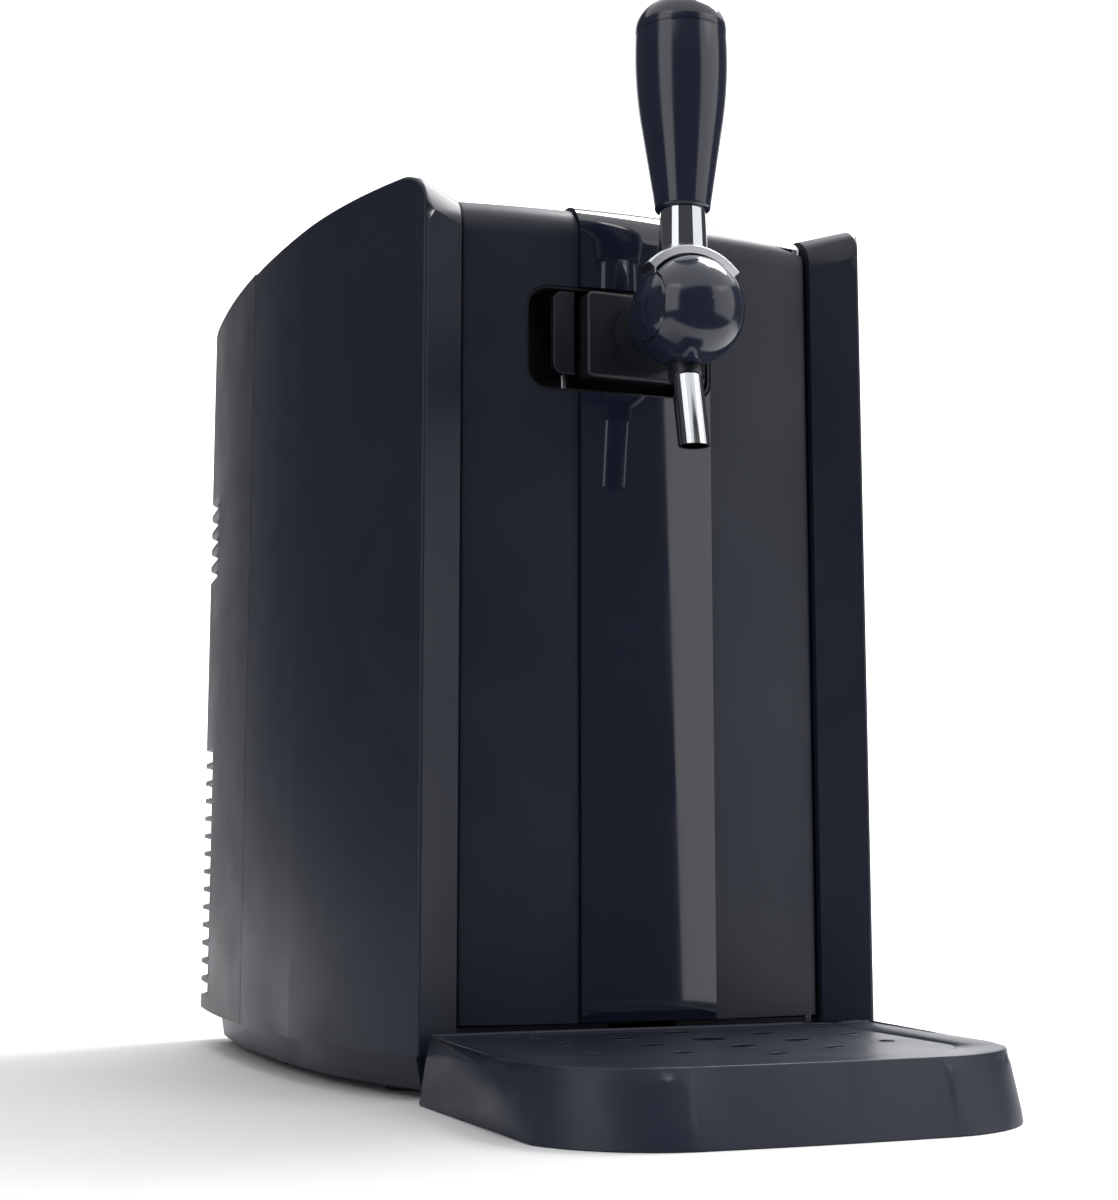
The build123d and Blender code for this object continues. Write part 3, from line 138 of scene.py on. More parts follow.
looks = {
    # Injection-moulded ABS from a spark-eroded tool: an even matte grain of 0.1 mm pits, drawn
    # four times as coarse so that it shows at all.
    "MouldedMatteAbs": {
        "colours": ("#1c2030", "#202535"),
        "cloud": 70,
        "patch": 45,
        "roughness": (0.37, 0.45),
        "grainKind": "ShaderNodeTexVoronoi",
        "grain": 0.4,
        "relief": 0.12,
        "depth": 0.03,
        "shader": {"Specular IOR Level": 0.4},
    },
    # The rear cover: the same plastic from a coarser, older tool, so it scatters more.
    "MouldedCoverAbs": {
        "colours": ("#23252d", "#282a32"),
        "cloud": 80,
        "patch": 50,
        "roughness": (0.42, 0.5),
        "grainKind": "ShaderNodeTexVoronoi",
        "grain": 0.5,
        "relief": 0.16,
        "depth": 0.04,
        "shader": {"Specular IOR Level": 0.4},
    },
    # Co-moulded acrylic over navy ABS: mirror-like, with the long waves left by shrinkage.
    "AcrylicFacedStrip": {
        "colours": ("#1b1e2d", "#202436"),
        "cloud": 110,
        "patch": 60,
        "roughness": (0.03, 0.07),
        "grain": 40,
        "relief": 0.03,
        "depth": 0.3,
        "shader": {"Coat Weight": 0.6, "Coat Roughness": 0.03},
    },
    # Painted and clear-lacquered ABS of the handle and the ball: shiny with soft-edged lights.
    "LacqueredNavyAbs": {
        "colours": ("#232839", "#282d40"),
        "cloud": 30,
        "patch": 25,
        "roughness": (0.13, 0.19),
        "grain": 3,
        "relief": 0.02,
        "depth": 0.05,
        "shader": {"Coat Weight": 0.35, "Coat Roughness": 0.12},
    },
    # Black moulded ABS, semi-matt from a fine-blasted tool.
    "BlastedBlackAbs": {
        "colours": ("#191b21", "#1f2228"),
        "cloud": 35,
        "patch": 20,
        "roughness": (0.30, 0.40),
        "grain": 0.35,
        "relief": 0.12,
        "depth": 0.03,
    },
    # Vacuum-formed polystyrene: pale, with the soft shine and slight waves of a stretched sheet.
    "FormedPolystyrene": {
        "colours": ("#d9dadb", "#e2e3e4"),
        "cloud": 120,
        "patch": 60,
        "roughness": (0.28, 0.38),
        "grain": 6,
        "relief": 0.08,
        "depth": 0.1,
    },
    # Closed-cell foam cut with a hot wire: small open pores of about a millimetre.
    "WireCutFoam": {
        "colours": ("#d8cfae", "#c9bf9c"),
        "cloud": 8,
        "patch": 5,
        "roughness": (0.8, 0.95),
        "grainKind": "ShaderNodeTexVoronoi",
        "grain": 1.2,
        "relief": 0.8,
        "depth": 0.4,
    },
    # Compression-moulded rubber: dull, with a dusty bloom.
    "PressedRubber": {
        "colours": ("#121213", "#1d1d1e"),
        "cloud": 11,
        "patch": 8,
        "roughness": (0.65, 0.85),
        "grain": 0.6,
        "relief": 0.35,
        "depth": 0.06,
    },
    # Chrome plated on polished brass: a mirror with the slightest orange peel.
    "BrightChrome": {
        "colours": ("#c6c9cf", "#d6d9de"),
        "cloud": 25,
        "patch": 12,
        "roughness": (0.04, 0.09),
        "grain": 5,
        "relief": 0.02,
        "depth": 0.05,
        "shader": {"Metallic": 1.0},
    },
    # Die-cast strap under satin chrome: polished along its length, which leaves fine lines.
    "SatinChrome": {
        "colours": ("#d0d2d6", "#e2e4e8"),
        "cloud": 16,
        "patch": 9,
        "roughness": (0.17, 0.25),
        "grain": 1.1,
        "relief": 0.07,
        "depth": 0.04,
        "drawn": (0.15, 1, 1),
        "shader": {"Metallic": 1.0},
    },
    # Cold-rolled steel, zinc-plated: fine rolling lines with a milky bloom.
    "ZincPlatedSteel": {
        "colours": ("#9a9ca0", "#aeb0b4"),
        "cloud": 20,
        "patch": 10,
        "roughness": (0.25, 0.38),
        "grain": 1.2,
        "relief": 0.12,
        "depth": 0.04,
        "drawn": (1, 1, 0.15),
        "shader": {"Metallic": 1.0},
    },
    # Extruded aluminium: draw lines run up the profile.
    "ExtrudedAluminium": {
        "colours": ("#b4b7bc", "#c3c6ca"),
        "cloud": 28,
        "patch": 15,
        "roughness": (0.3, 0.42),
        "grain": 1.4,
        "relief": 0.15,
        "depth": 0.05,
        "drawn": (1, 1, 0.08),
        "shader": {"Metallic": 1.0},
    },
    # Sintered alumina plates: chalky white.
    "SinteredAlumina": {
        "colours": ("#e6e5e0", "#efeee9"),
        "cloud": 8,
        "patch": 5,
        "roughness": (0.6, 0.75),
        "grain": 0.7,
        "relief": 0.2,
        "depth": 0.04,
    },
    # Glass-fibre laminate under green solder mask: glossy, with the weave just showing.
    "SolderMask": {
        "colours": ("#0c3a20", "#0f4727"),
        "cloud": 5,
        "patch": 9,
        "roughness": (0.2, 0.32),
        "grain": 0.8,
        "relief": 0.15,
        "depth": 0.04,
    },
    # Stove-enamelled steel: a slight orange peel.
    "StovedEnamel": {
        "colours": ("#3d3f43", "#45474b"),
        "cloud": 25,
        "patch": 14,
        "roughness": (0.3, 0.4),
        "grain": 2.5,
        "relief": 0.15,
        "depth": 0.05,
    },
    # Woven polyester filter cloth: threads of half a millimetre, drawn twice as coarse.
    "WovenFilterCloth": {
        "colours": ("#0c0c0f", "#17171b"),
        "cloud": 1.6,
        "patch": 12,
        "roughness": (0.8, 0.95),
        "grainKind": "ShaderNodeTexChecker",
        "grain": 1.0,
        "relief": 0.6,
        "depth": 0.2,
    },
    # Extruded polyethylene hose: milky and a little waxy.
    "MilkyHose": {
        "colours": ("#d5d8da", "#e4e7e9"),
        "cloud": 14,
        "patch": 7,
        "roughness": (0.25, 0.35),
        "grain": 1.6,
        "relief": 0.08,
        "depth": 0.04,
    },
    # Studio background paper: flat white with a barely visible tooth.
    "StudioPaper": {
        "colours": ("#f2f3f5", "#f7f8f9"),
        "cloud": 700,
        "patch": 400,
        "roughness": (0.7, 0.8),
        "grain": 3,
        "relief": 0.02,
        "depth": 0.1,
    },
}
materials = {name: makeMaterial(name, look) for name, look in looks.items()}

slotLooks = {
    "shell_plastic": "MouldedMatteAbs",
    "cover_plastic": "MouldedCoverAbs",
    "gloss_trim": "LacqueredNavyAbs",
    "black_plastic": "BlastedBlackAbs",
    "liner_plastic": "FormedPolystyrene",
    "foam": "WireCutFoam",
    "rubber": "PressedRubber",
    "chrome": "BrightChrome",
    "silver": "SatinChrome",
    "steel": "ZincPlatedSteel",
    "aluminium": "ExtrudedAluminium",
    "ceramic": "SinteredAlumina",
    "board": "SolderMask",
    "pump": "StovedEnamel",
    "screen": "WovenFilterCloth",
    "tube": "MilkyHose",
}
# the spout collar wears the black plastic instead of its navy trim: painted shade for the shadow
# under the ball
nodeLooks = {"centre_strip": "AcrylicFacedStrip", "spout_collar": "BlastedBlackAbs"}

foldAngle = math.radians(24)  # sharper folds than this stay crisp


def finishMesh(mesh):
    mesh.shade_smooth()
    mesh.set_sharp_from_angle(angle=foldAngle)


for part in frame["record"]["subparts"]:
    mesh = cadNodes[part["node"]].data
    look = nodeLooks.get(part["node"], slotLooks[part["material_slot"]])
    mesh.materials.clear()
    mesh.materials.append(materials[look])
    finishMesh(mesh)
print("materials:", len(materials))


# Geometry Nodes: every tree gets its sizes through named inputs


def newTree(name, sizes):
    tree = bpy.data.node_groups.new(name, "GeometryNodeTree")
    tree.interface.new_socket("Geometry", in_out="INPUT", socket_type="NodeSocketGeometry")
    for label in sizes:
        tree.interface.new_socket(label, in_out="INPUT", socket_type="NodeSocketFloat")
    tree.interface.new_socket("Geometry", in_out="OUTPUT", socket_type="NodeSocketGeometry")
    return tree, addNode(tree, "NodeGroupInput").outputs


def closeTree(tree, geometry, material):
    real = addNode(tree, "GeometryNodeRealizeInstances", {"Geometry": geometry})
    dressed = addNode(
        tree, "GeometryNodeSetMaterial", {"Material": material, "Geometry": real.outputs[0]}
    )
    addNode(tree, "NodeGroupOutput", {"Geometry": dressed.outputs[0]})


def growPiece(name, tree, sizes, places, edges=()):
    # runs a tree on bare points or a bare outline and keeps what it makes as a plain mesh
    seed = bpy.data.meshes.new(name + "Seed")
    seed.from_pydata([tuple(place) for place in places], edges, [])
    piece = bpy.data.objects.new(name, seed)
    bpy.context.collection.objects.link(piece)
    grower = piece.modifiers.new("Grow", "NODES")
    grower.node_group = tree
    for socket in tree.interface.items_tree:
        if socket.in_out == "INPUT" and socket.name in sizes:
            grower[socket.identifier] = sizes[socket.name]
    graph = bpy.context.evaluated_depsgraph_get()
    grown = bpy.data.meshes.new_from_object(piece.evaluated_get(graph))
    piece.modifiers.remove(grower)
    piece.data = grown
    finishMesh(grown)
    print(name + ":", len(grown.polygons), "faces")
    return piece


def roundedPlan(half, back, front, corner, bow, steps=24):
    # straight back and sides, round front corners and a slightly bowed nose
    def nose(x):
        return front - bow * (1 - (x / half) ** 2)

    flat = half - corner
    centreY = nose(flat) + corner
    line = [(-half, back)]
    for i in range(steps + 1):
        angle = math.pi + math.pi / 2 * i / steps
        line.append((-flat + corner * math.cos(angle), centreY + corner * math.sin(angle)))
    across = [flat * (2 * i / steps - 1) for i in range(1, steps)]
    line += [(x, nose(x)) for x in across]
    line += [(-x, y) for x, y in reversed(line[1 : steps + 2])]
    return line + [(half, back)]


# Drip tray: its drafted wall, round front corners and height, refitted on a copy of the solid one

gridOutline = {"half": 0.082, "back": -0.091, "front": -0.212, "corner": 0.030, "bow": 0.004}
trayFit = {
    "middle": (0, -0.152),  # points move along rays from here
    "bow": 0.005,
    "edges": {"solid": (0.002, 0.030), "fitted": (0.0004, 0.0285)},  # lower and upper height
    "plans": {  # half width, back, front and corner radius at the lower and the upper edge
        "solid": ((0.110, -0.0805, -0.253, 0.050), (0.1035, -0.0825, -0.242, 0.044)),
        "fitted": ((0.110, -0.0805, -0.2364, 0.062), (0.106, -0.0825, -0.226, 0.053)),
    },
    "seat": 0.004,  # this far round the grid the well's wall keeps its place
    "ledge": 0.025,  # the rim and the grid's ledge lie above this height
    "ledgeBack": -0.0826,  # and in front of this line
    "underside": 0.0003,  # a point this close to the lower edge moves with it
    "atBack": 0.0001,  # points up to this far behind the back line still count
    "weld": 0.000001,
}


def reachAlong(line, dx, dy):
    # distance from the tray's middle to the outline in one direction
    middleX, middleY = trayFit["middle"]
    line = [(x - middleX, y - middleY) for x, y in line]
    for (ax, ay), (bx, by) in zip(line, line[1:] + line[:1]):
        cross = dx * (by - ay) - dy * (bx - ax)
        if abs(cross) < 1e-12:
            continue
        far = (ax * (by - ay) - ay * (bx - ax)) / cross
        along = (ax * dy - ay * dx) / cross
        if far > 0 and -1e-9 <= along <= 1 + 1e-9:
            return far
    return 0.0


def between(ends, share):
    return [low + (high - low) * share for low, high in zip(*ends)]


def widened(value, start, ratio):
    spare = abs(value) - start
    return value if spare <= 0 else math.copysign(start + spare * ratio, value)


def refitTray(name, fit):
    mesh = cadNodes["drip_tray"].data.copy()
    shape = bmesh.new()
    shape.from_mesh(mesh)
    bmesh.ops.remove_doubles(shape, verts=shape.verts, dist=fit["weld"])
    seat = fit["seat"]
    keptHalf = gridOutline["half"] + seat
    kept = roundedPlan(
        keptHalf,
        gridOutline["back"] + seat,
        gridOutline["front"] - seat,
        gridOutline["corner"] + seat,
        gridOutline["bow"],
    )
    middleX, middleY = fit["middle"]
    (bottom, top), (newBottom, newTop) = fit["edges"]["solid"], fit["edges"]["fitted"]
    levels = {}
    for point in shape.verts:
        x, y, z = point.co
        share = round(min(max((z - bottom) / (top - bottom), 0), 1), 3)
        old, new = (between(fit["plans"][which], share) for which in ("solid", "fitted"))
        ratio = (new[0] - keptHalf) / (old[0] - keptHalf)
        if share not in levels:
            solid = roundedPlan(*old, fit["bow"])
            wide = [(widened(px, keptHalf, ratio), py) for px, py in solid]
            levels[share] = (wide, roundedPlan(*new, fit["bow"]))
        x = widened(x, keptHalf, ratio)
        dx, dy = x - middleX, y - middleY
        distance = math.hypot(dx, dy)
        if distance > fit["weld"] and y < old[1] + fit["atBack"]:
            dx, dy = dx / distance, dy / distance
            inner = reachAlong(kept, dx, dy)
            outer, wanted = (reachAlong(line, dx, dy) for line in levels[share])
            if distance > inner and outer > inner:
                distance = inner + (distance - inner) * (wanted - inner) / (outer - inner)
                x, y = middleX + dx * distance, middleY + dy * distance
        if z > fit["ledge"] and y < fit["ledgeBack"]:
            z += newTop - top
        elif z < bottom + fit["underside"]:
            z += newBottom - bottom
        point.co = (x, y, z)
    shape.to_mesh(mesh)
    shape.free()
    piece = bpy.data.objects.new(name, mesh)
    bpy.context.collection.objects.link(piece)
    finishMesh(mesh)
    print(name + ":", len(mesh.polygons), "faces")
    return piece


dripTray = refitTray("DripTray", trayFit)
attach(dripTray, "tray")
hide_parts("drip_tray")


# Grid plate: drain holes in a hexagon, widest in the middle, each with a fine rolled lip

gridPlate = {
    "Pitch X": 0.033,
    "Pitch Y": 0.032,
    "Middle Y": -0.134,
    "Back Limit": -0.1,  # no hole lies further back
    "Reach": 2.35,  # in pitches, just past the hexagon's corners
    "Widest": 0.007,
    "Narrowing": 0.052,  # of the radius, for each metre from the middle
    "Thickness": 0.0026,
    "Lip": 0.0003,
}
gridSunk = 0.0001  # below the tray's upper edge
latticeSide = 5  # holes along each side of the lattice that the hexagon is cut from


def gridTree(sizes, material):
    tree, given = newTree("PerforatedPlate", sizes)
    gaps = float(latticeSide - 1)
    across, along = [
        addNode(
            tree, "ShaderNodeMath", {"operation": "MULTIPLY", 0: given[pitch], 1: gaps}
        ).outputs[0]
        for pitch in ("Pitch X", "Pitch Y")
    ]
    lattice = addNode(
        tree,
        "GeometryNodeMeshGrid",
        {"Vertices X": latticeSide, "Vertices Y": latticeSide, "Size X": across, "Size Y": along},
    ).outputs["Mesh"]
    spot = addNode(tree, "GeometryNodeInputPosition").outputs[0]
    place = addNode(tree, "ShaderNodeSeparateXYZ", {0: spot}).outputs

    # every other column is shifted by half a pitch
    ratio = addNode(
        tree, "ShaderNodeMath", {"operation": "DIVIDE", 0: place["X"], 1: given["Pitch X"]}
    ).outputs[0]
    column = addNode(tree, "ShaderNodeMath", {"operation": "ROUND", 0: ratio}).outputs[0]
    count = addNode(tree, "ShaderNodeMath", {"operation": "ABSOLUTE", 0: column}).outputs[0]
    odd = addNode(tree, "ShaderNodeMath", {"operation": "MODULO", 0: count, 1: 2.0}).outputs[0]
    full = addNode(
        tree, "ShaderNodeMath", {"operation": "MULTIPLY", 0: odd, 1: given["Pitch Y"]}
    ).outputs[0]
    half = addNode(tree, "ShaderNodeMath", {"operation": "MULTIPLY", 0: full, 1: 0.5}).outputs[0]
    shift = addNode(tree, "ShaderNodeCombineXYZ", {"Y": half}).outputs[0]
    staggered = addNode(
        tree, "GeometryNodeSetPosition", {"Geometry": lattice, "Offset": shift}
    ).outputs[0]

    # what lies outside the hexagon or behind the back limit goes
    distance = addNode(
        tree, "ShaderNodeVectorMath", {"operation": "LENGTH", 0: spot}
    ).outputs["Value"]
    reach = addNode(
        tree, "ShaderNodeMath", {"operation": "MULTIPLY", 0: given["Pitch Y"], 1: given["Reach"]}
    ).outputs[0]
    tooFar = addNode(
        tree, "ShaderNodeMath", {"operation": "GREATER_THAN", 0: distance, 1: reach}
    ).outputs[0]
    backLine = addNode(
        tree,
        "ShaderNodeMath",
        {"operation": "SUBTRACT", 0: given["Back Limit"], 1: given["Middle Y"]},
    ).outputs[0]
    tooBack = addNode(
        tree, "ShaderNodeMath", {"operation": "GREATER_THAN", 0: place["Y"], 1: backLine}
    ).outputs[0]
    outside = addNode(
        tree, "ShaderNodeMath", {"operation": "MAXIMUM", 0: tooFar, 1: tooBack}
    ).outputs[0]
    inside = addNode(
        tree, "GeometryNodeDeleteGeometry", {"Geometry": staggered, "Selection": outside}
    ).outputs[0]

    narrower = addNode(
        tree, "ShaderNodeMath", {"operation": "MULTIPLY", 0: distance, 1: given["Narrowing"]}
    ).outputs[0]
    radius = addNode(
        tree, "ShaderNodeMath", {"operation": "SUBTRACT", 0: given["Widest"], 1: narrower}
    ).outputs[0]
    ring = addNode(tree, "GeometryNodeCurvePrimitiveCircle", {"Resolution": 40, "Radius": 1.0})
    rings = addNode(
        tree,
        "GeometryNodeInstanceOnPoints",
        {"Points": inside, "Instance": ring.outputs["Curve"], "Scale": radius},
    ).outputs[0]
    loose = addNode(tree, "GeometryNodeRealizeInstances", {"Geometry": rings}).outputs[0]
    moved = addNode(tree, "ShaderNodeCombineXYZ", {"Y": given["Middle Y"]}).outputs[0]
    holes = addNode(
        tree, "GeometryNodeTransform", {"Geometry": loose, "Translation": moved}
    ).outputs[0]

    # the outline and the rings are filled, and the sheet is given its thickness
    outline = addNode(tree, "GeometryNodeMeshToCurve", {"Mesh": given["Geometry"]}).outputs[0]
    lines = addNode(tree, "GeometryNodeJoinGeometry", {0: [holes, outline]}).outputs[0]
    under = addNode(tree, "GeometryNodeFillCurve", {"Curve": lines}).outputs[0]
    raised = addNode(
        tree,
        "GeometryNodeExtrudeMesh",
        {"Individual": False, "Mesh": under, "Offset Scale": given["Thickness"]},
    ).outputs[0]
    flipped = addNode(tree, "GeometryNodeFlipFaces", {"Mesh": under}).outputs[0]
    shell = addNode(tree, "GeometryNodeJoinGeometry", {0: [raised, flipped]}).outputs[0]
    plate = addNode(
        tree, "GeometryNodeMergeByDistance", {"Distance": 1e-6, "Geometry": shell}
    ).outputs[0]
    lifted = addNode(tree, "ShaderNodeCombineXYZ", {"Z": given["Thickness"]}).outputs[0]
    upper = addNode(
        tree, "GeometryNodeTransform", {"Geometry": holes, "Translation": lifted}
    ).outputs[0]
    profile = addNode(
        tree, "GeometryNodeCurvePrimitiveCircle", {"Resolution": 8, "Radius": given["Lip"]}
    )
    lips = addNode(
        tree,
        "GeometryNodeCurveToMesh",
        {"Curve": upper, "Profile Curve": profile.outputs["Curve"]},
    ).outputs[0]
    whole = addNode(tree, "GeometryNodeJoinGeometry", {0: [plate, lips]})
    closeTree(tree, whole.outputs[0], material)
    return tree


plateLine = roundedPlan(**gridOutline)
platePoints = [(x, y, 0) for x, y in plateLine]
plateEdges = [(i, (i + 1) % len(plateLine)) for i in range(len(plateLine))]
plateTree = gridTree(gridPlate, materials["MouldedMatteAbs"])
dripGrid = growPiece("DripGrid", plateTree, gridPlate, platePoints, plateEdges)
seatZ = trayFit["edges"]["fitted"][1] - gridPlate["Thickness"] - gridSunk
dripGrid.data.transform(Matrix.Translation((0, 0, seatZ)))
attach(dripGrid, "grid")
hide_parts("drip_grid")


# Screws: domed heads with a cross recess, on shanks with a rolled thread

coverScrew = {"Head Radius": 0.004, "Head Height": 0.0024, "Shank Radius": 0.0018, "Pitch": 0.0012}
fanScrew = {"Head Radius": 0.0032, "Head Height": 0.002, "Shank Radius": 0.0017, "Pitch": 0.001}
screwTip = 0.0002  # the shank stops this far short of the solid one's end
headShares = {  # of the head's radius
    "cutter": 3.0,  # a block that takes away the ball's lower half
    "cutterDrop": -1.5,
    "slotLength": 1.15,
    "slotWidth": 0.24,
}
threadShare = 0.16  # of the pitch


def screwTree(sizes, material):
    tree, given = newTree("CrossHeadScrew", list(sizes) + ["Length"])
    cutter, drop, slotLong, slotWide = [
        addNode(
            tree, "ShaderNodeMath", {"operation": "MULTIPLY", 0: given["Head Radius"], 1: share}
        ).outputs[0]
        for share in headShares.values()
    ]
    ball = addNode(
        tree,
        "GeometryNodeMeshUVSphere",
        {"Segments": 40, "Rings": 20, "Radius": given["Head Radius"]},
    )
    squash = addNode(
        tree,
        "ShaderNodeMath",
        {"operation": "DIVIDE", 0: given["Head Height"], 1: given["Head Radius"]},
    ).outputs[0]
    flat = addNode(tree, "ShaderNodeCombineXYZ", {"X": 1.0, "Y": 1.0, "Z": squash}).outputs[0]
    head = addNode(
        tree, "GeometryNodeTransform", {"Geometry": ball.outputs["Mesh"], "Scale": flat}
    ).outputs[0]

    # one block takes the lower half away, and two bars cut the cross
    blocks = [
        ({"X": cutter, "Y": cutter, "Z": cutter}, drop),
        ({"X": slotLong, "Y": slotWide, "Z": given["Head Height"]}, given["Head Height"]),
        ({"X": slotWide, "Y": slotLong, "Z": given["Head Height"]}, given["Head Height"]),
    ]
    for sides, height in blocks:
        size = addNode(tree, "ShaderNodeCombineXYZ", sides).outputs[0]
        block = addNode(tree, "GeometryNodeMeshCube", {"Size": size}).outputs["Mesh"]
        place = addNode(tree, "ShaderNodeCombineXYZ", {"Z": height}).outputs[0]
        cut = addNode(
            tree, "GeometryNodeTransform", {"Geometry": block, "Translation": place}
        ).outputs[0]
        head = addNode(
            tree, "GeometryNodeMeshBoolean", {"operation": "DIFFERENCE", 0: head, 1: cut}
        ).outputs["Mesh"]

    middle, end = [
        addNode(
            tree,
            "ShaderNodeCombineXYZ",
            {
                "Z": addNode(
                    tree, "ShaderNodeMath", {"operation": "MULTIPLY", 0: given["Length"], 1: share}
                ).outputs[0]
            },
        ).outputs[0]
        for share in (-0.5, -1.0)
    ]
    shank = addNode(
        tree,
        "GeometryNodeMeshCylinder",
        {"Vertices": 24, "Radius": given["Shank Radius"], "Depth": given["Length"]},
    )
    hung = addNode(
        tree, "GeometryNodeTransform", {"Geometry": shank.outputs["Mesh"], "Translation": middle}
    ).outputs[0]
    turns = addNode(
        tree, "ShaderNodeMath", {"operation": "DIVIDE", 0: given["Length"], 1: given["Pitch"]}
    ).outputs[0]
    helix = addNode(
        tree,
        "GeometryNodeCurveSpiral",
        {
            "Resolution": 20,
            "Rotations": turns,
            "Start Radius": given["Shank Radius"],
            "End Radius": given["Shank Radius"],
            "Height": given["Length"],
        },
    )
    wound = addNode(
        tree, "GeometryNodeTransform", {"Geometry": helix.outputs["Curve"], "Translation": end}
    ).outputs[0]
    ridgeRadius = addNode(
        tree, "ShaderNodeMath", {"operation": "MULTIPLY", 0: given["Pitch"], 1: threadShare}
    ).outputs[0]
    ridge = addNode(
        tree, "GeometryNodeCurvePrimitiveCircle", {"Resolution": 4, "Radius": ridgeRadius}
    )
    thread = addNode(
        tree,
        "GeometryNodeCurveToMesh",
        {"Fill Caps": True, "Curve": wound, "Profile Curve": ridge.outputs["Curve"]},
    ).outputs[0]
    screw = addNode(tree, "GeometryNodeJoinGeometry", {0: [head, hung, thread]})
    driven = addNode(
        tree,
        "GeometryNodeInstanceOnPoints",
        {
            "Rotation": (-math.pi / 2, 0, 0),  # towards the back
            "Points": given["Geometry"],
            "Instance": screw.outputs[0],
        },
    )
    closeTree(tree, driven.outputs[0], material)
    return tree


def driveScrews(name, node, body, sizes, rows):
    # heads face the back, and the places come from the solid screws' own box
    low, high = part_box(node)
    inset = sizes["Head Radius"]
    seat = high[1] - sizes["Head Height"]
    heights = [(low[2] + high[2]) / 2] if rows == 1 else [low[2] + inset, high[2] - inset]
    places = [(x, seat, z) for x in (low[0] + inset, high[0] - inset) for z in heights]
    tree = screwTree(sizes, materials["ZincPlatedSteel"])
    piece = growPiece(name, tree, {**sizes, "Length": seat - low[1] - screwTip}, places)
    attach(piece, body)
    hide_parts(node)


driveScrews("CoverScrews", "cover_screws", "cabinet", coverScrew, 1)
driveScrews("FanScrews", "fan_screws", "cabinet", fanScrew, 2)


# Feet: rubber pads with a tread of round ridges underneath

plinthFoot = {"Radius": 0.011, "Height": 0.005, "Ridge Pitch": 0.0026, "Ridge Radius": 0.0006}
trayPad = {"Radius": 0.009, "Height": 0.0026, "Ridge Pitch": 0.0021, "Ridge Radius": 0.0004}
ridgeCount = 4


def treadTree(sizes, material):
    tree, given = newTree("TreadedPad", sizes)
    height = addNode(
        tree,
        "ShaderNodeMath",
        {"operation": "SUBTRACT", 0: given["Height"], 1: given["Ridge Radius"]},
    ).outputs[0]
    disc = addNode(
        tree,
        "GeometryNodeMeshCylinder",
        {"Vertices": 64, "Radius": given["Radius"], "Depth": height},
    )
    half = addNode(tree, "ShaderNodeMath", {"operation": "MULTIPLY", 0: height, 1: 0.5}).outputs[0]
    lift = addNode(
        tree, "ShaderNodeMath", {"operation": "ADD", 0: half, 1: given["Ridge Radius"]}
    ).outputs[0]
    lifted = addNode(tree, "ShaderNodeCombineXYZ", {"Z": lift}).outputs[0]
    body = addNode(
        tree, "GeometryNodeTransform", {"Geometry": disc.outputs["Mesh"], "Translation": lifted}
    ).outputs[0]

    # one ring for each point of a short line, each wider than the last by a pitch
    row = addNode(tree, "GeometryNodeMeshLine", {"Count": ridgeCount, "Offset": (0, 0, 0)})
    index = addNode(tree, "GeometryNodeInputIndex").outputs[0]
    number = addNode(tree, "ShaderNodeMath", {"operation": "ADD", 0: index, 1: 1.0}).outputs[0]
    spread = addNode(
        tree, "ShaderNodeMath", {"operation": "MULTIPLY", 0: number, 1: given["Ridge Pitch"]}
    ).outputs[0]
    ring = addNode(tree, "GeometryNodeCurvePrimitiveCircle", {"Resolution": 48, "Radius": 1.0})
    rings = addNode(
        tree,
        "GeometryNodeInstanceOnPoints",
        {"Points": row.outputs[0], "Instance": ring.outputs["Curve"], "Scale": spread},
    ).outputs[0]
    loose = addNode(tree, "GeometryNodeRealizeInstances", {"Geometry": rings}).outputs[0]
    raised = addNode(tree, "ShaderNodeCombineXYZ", {"Z": given["Ridge Radius"]}).outputs[0]
    lines = addNode(
        tree, "GeometryNodeTransform", {"Geometry": loose, "Translation": raised}
    ).outputs[0]
    profile = addNode(
        tree,
        "GeometryNodeCurvePrimitiveCircle",
        {"Resolution": 10, "Radius": given["Ridge Radius"]},
    )
    ridges = addNode(
        tree,
        "GeometryNodeCurveToMesh",
        {"Curve": lines, "Profile Curve": profile.outputs["Curve"]},
    ).outputs[0]
    pad = addNode(tree, "GeometryNodeJoinGeometry", {0: [body, ridges]})
    pads = addNode(
        tree,
        "GeometryNodeInstanceOnPoints",
        {"Points": given["Geometry"], "Instance": pad.outputs[0]},
    )
    closeTree(tree, pads.outputs[0], material)
    return tree


def standOn(name, node, body, sizes):
    low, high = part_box(node)
    inset = sizes["Radius"]
    places = [
        (x, y, low[2])
        for x in (low[0] + inset, high[0] - inset)
        for y in (low[1] + inset, high[1] - inset)
    ]
    piece = growPiece(name, treadTree(sizes, materials["PressedRubber"]), sizes, places)
    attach(piece, body)
    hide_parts(node)


standOn("PlinthFeet", "rubber_feet", "cabinet", plinthFoot)
standOn("TrayPads", "tray_pads", "tray", trayPad)


# Camera

viewpoint = {
    "at": (-347.7, -879.4, 103.5),
    "tilt": 97.64,
    "turn": -20.63,
    "lens": 57.69,
    "sensor": 36,
}
camera = bpy.data.objects.new("Camera", bpy.data.cameras.new("Camera"))
bpy.context.collection.objects.link(camera)
camera.location = mm(*viewpoint["at"])
camera.rotation_euler = (math.radians(viewpoint["tilt"]), 0, math.radians(viewpoint["turn"]))
camera.data.lens = viewpoint["lens"]
camera.data.sensor_width = viewpoint["sensor"]
bpy.context.scene.camera = camera


# Studio: softboxes with named places, in metres and watts

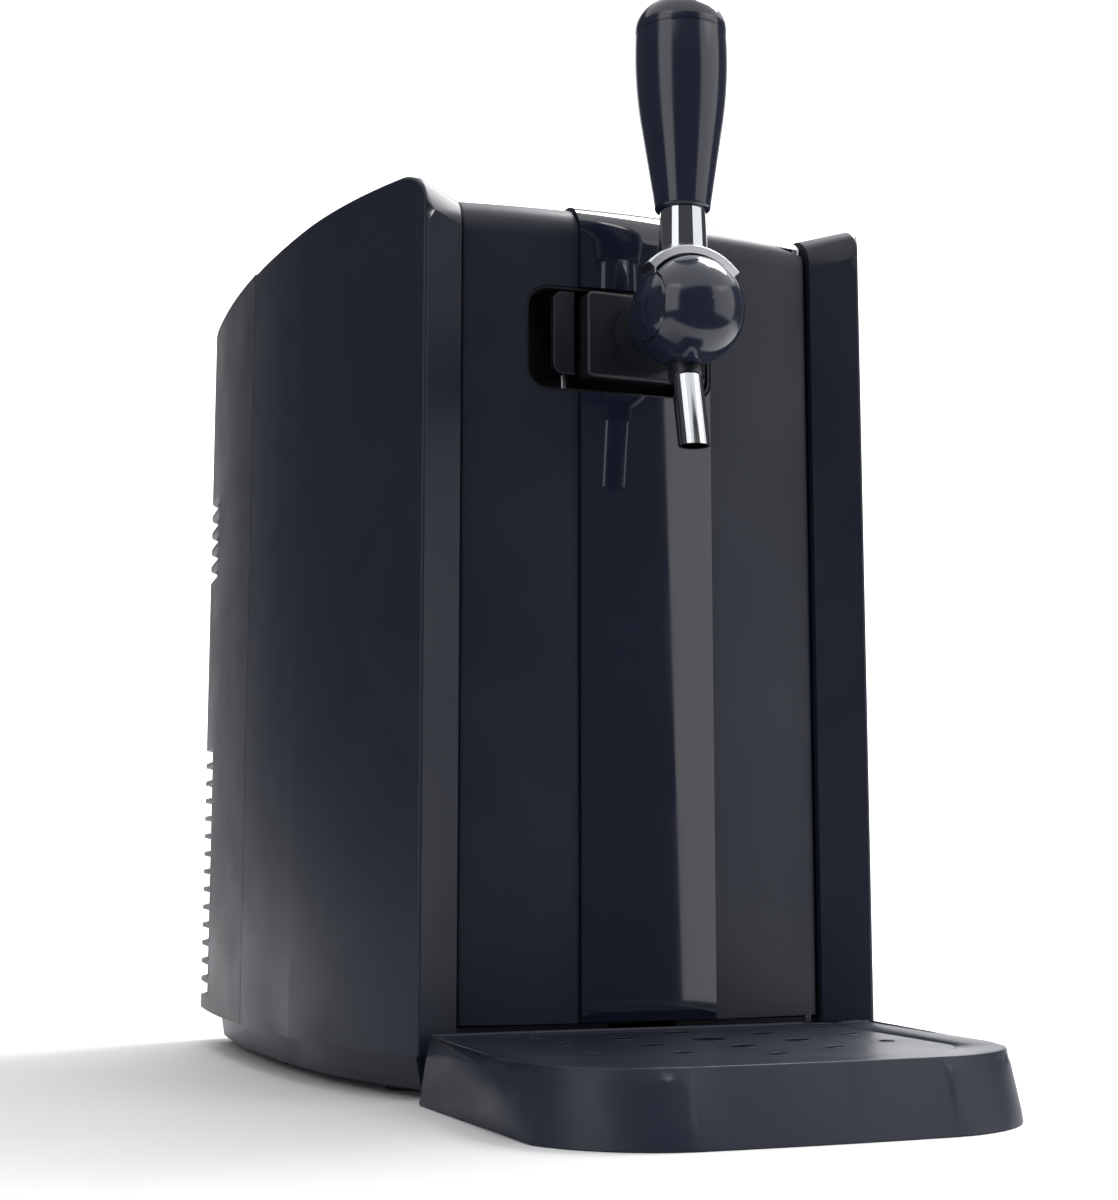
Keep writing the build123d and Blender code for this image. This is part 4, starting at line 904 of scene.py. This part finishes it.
softboxes = {
    "SoftboxLeft": {
        "at": (-1.65, -0.95, 0.85),
        "aim": (0, 0, 0.3),
        "size": (1.05, 1.9),
        "power": 9,
    },
    "SoftboxRight": {
        "at": (1.53, -1.24, 0.70),
        "aim": (0, 0, 0.3),
        "size": (1.9, 1.8),
        "power": 13,
    },
    "Ceiling": {
        "at": (0.3, -0.6, 2.2),
        "aim": (0.3, -0.6, 0),
        "size": (5.0, 4.0),
        "power": 65,
    },
    "KeyBehind": {
        "at": (0.9, 0.5, 1.9),
        "aim": (0, 0, 0.25),
        "size": (0.8, 0.8),
        "power": 35,
    },
    "BackdropLight": {
        "at": (1.6, 1.5, 2.9),
        "aim": (1.6, 4.0, 1.2),
        "size": (4.5, 1.0),
        "power": 220,
    },
}
roomLight = {"colour": "#f4f6fa", "strength": 0.08}


def addSoftbox(name, box):
    data = bpy.data.lights.new(name, "AREA")
    data.shape = "RECTANGLE"
    data.size, data.size_y = box["size"]
    data.energy = box["power"]
    light = bpy.data.objects.new(name, data)
    bpy.context.collection.objects.link(light)
    light.location = box["at"]
    away = Vector(box["at"]) - Vector(box["aim"])
    light.rotation_euler = away.to_track_quat("Z", "Y").to_euler()


for name, box in softboxes.items():
    addSoftbox(name, box)

world = bpy.data.worlds.new("DimStudio")
world.use_nodes = True
room = world.node_tree.nodes["Background"].inputs
room["Color"].default_value = srgb(roomLight["colour"])
room["Strength"].default_value = roomLight["strength"]
bpy.context.scene.world = world
bpy.context.scene.view_settings.view_transform = "Standard"
print("lights:", len(softboxes))


# Paper sweep: a floor that bends up into a backdrop, narrow on the left so the side stays dark

sweep = {
    "front": -0.4,
    "back": 4.0,
    "rise": 5.0,
    "bend": 1.5,
    "left": -0.8,
    "right": 7.0,
    "steps": 12,
}


def addSweep(size):
    line = [(size["front"], 0.0)]
    for i in range(size["steps"] + 1):
        angle = math.radians(90 * i / size["steps"])
        y = size["back"] - size["bend"] + size["bend"] * math.sin(angle)
        line.append((y, size["bend"] - size["bend"] * math.cos(angle)))
    line.append((size["back"], size["rise"]))
    verts = [(x, y, z) for y, z in line for x in (size["left"], size["right"])]
    faces = [(2 * i, 2 * i + 1, 2 * i + 3, 2 * i + 2) for i in range(len(line) - 1)]
    mesh = bpy.data.meshes.new("PaperSweep")
    mesh.from_pydata(verts, [], faces)
    mesh.shade_smooth()
    mesh.materials.append(materials["StudioPaper"])
    paper = bpy.data.objects.new("PaperSweep", mesh)
    bpy.context.collection.objects.link(paper)


addSweep(sweep)

print("done")
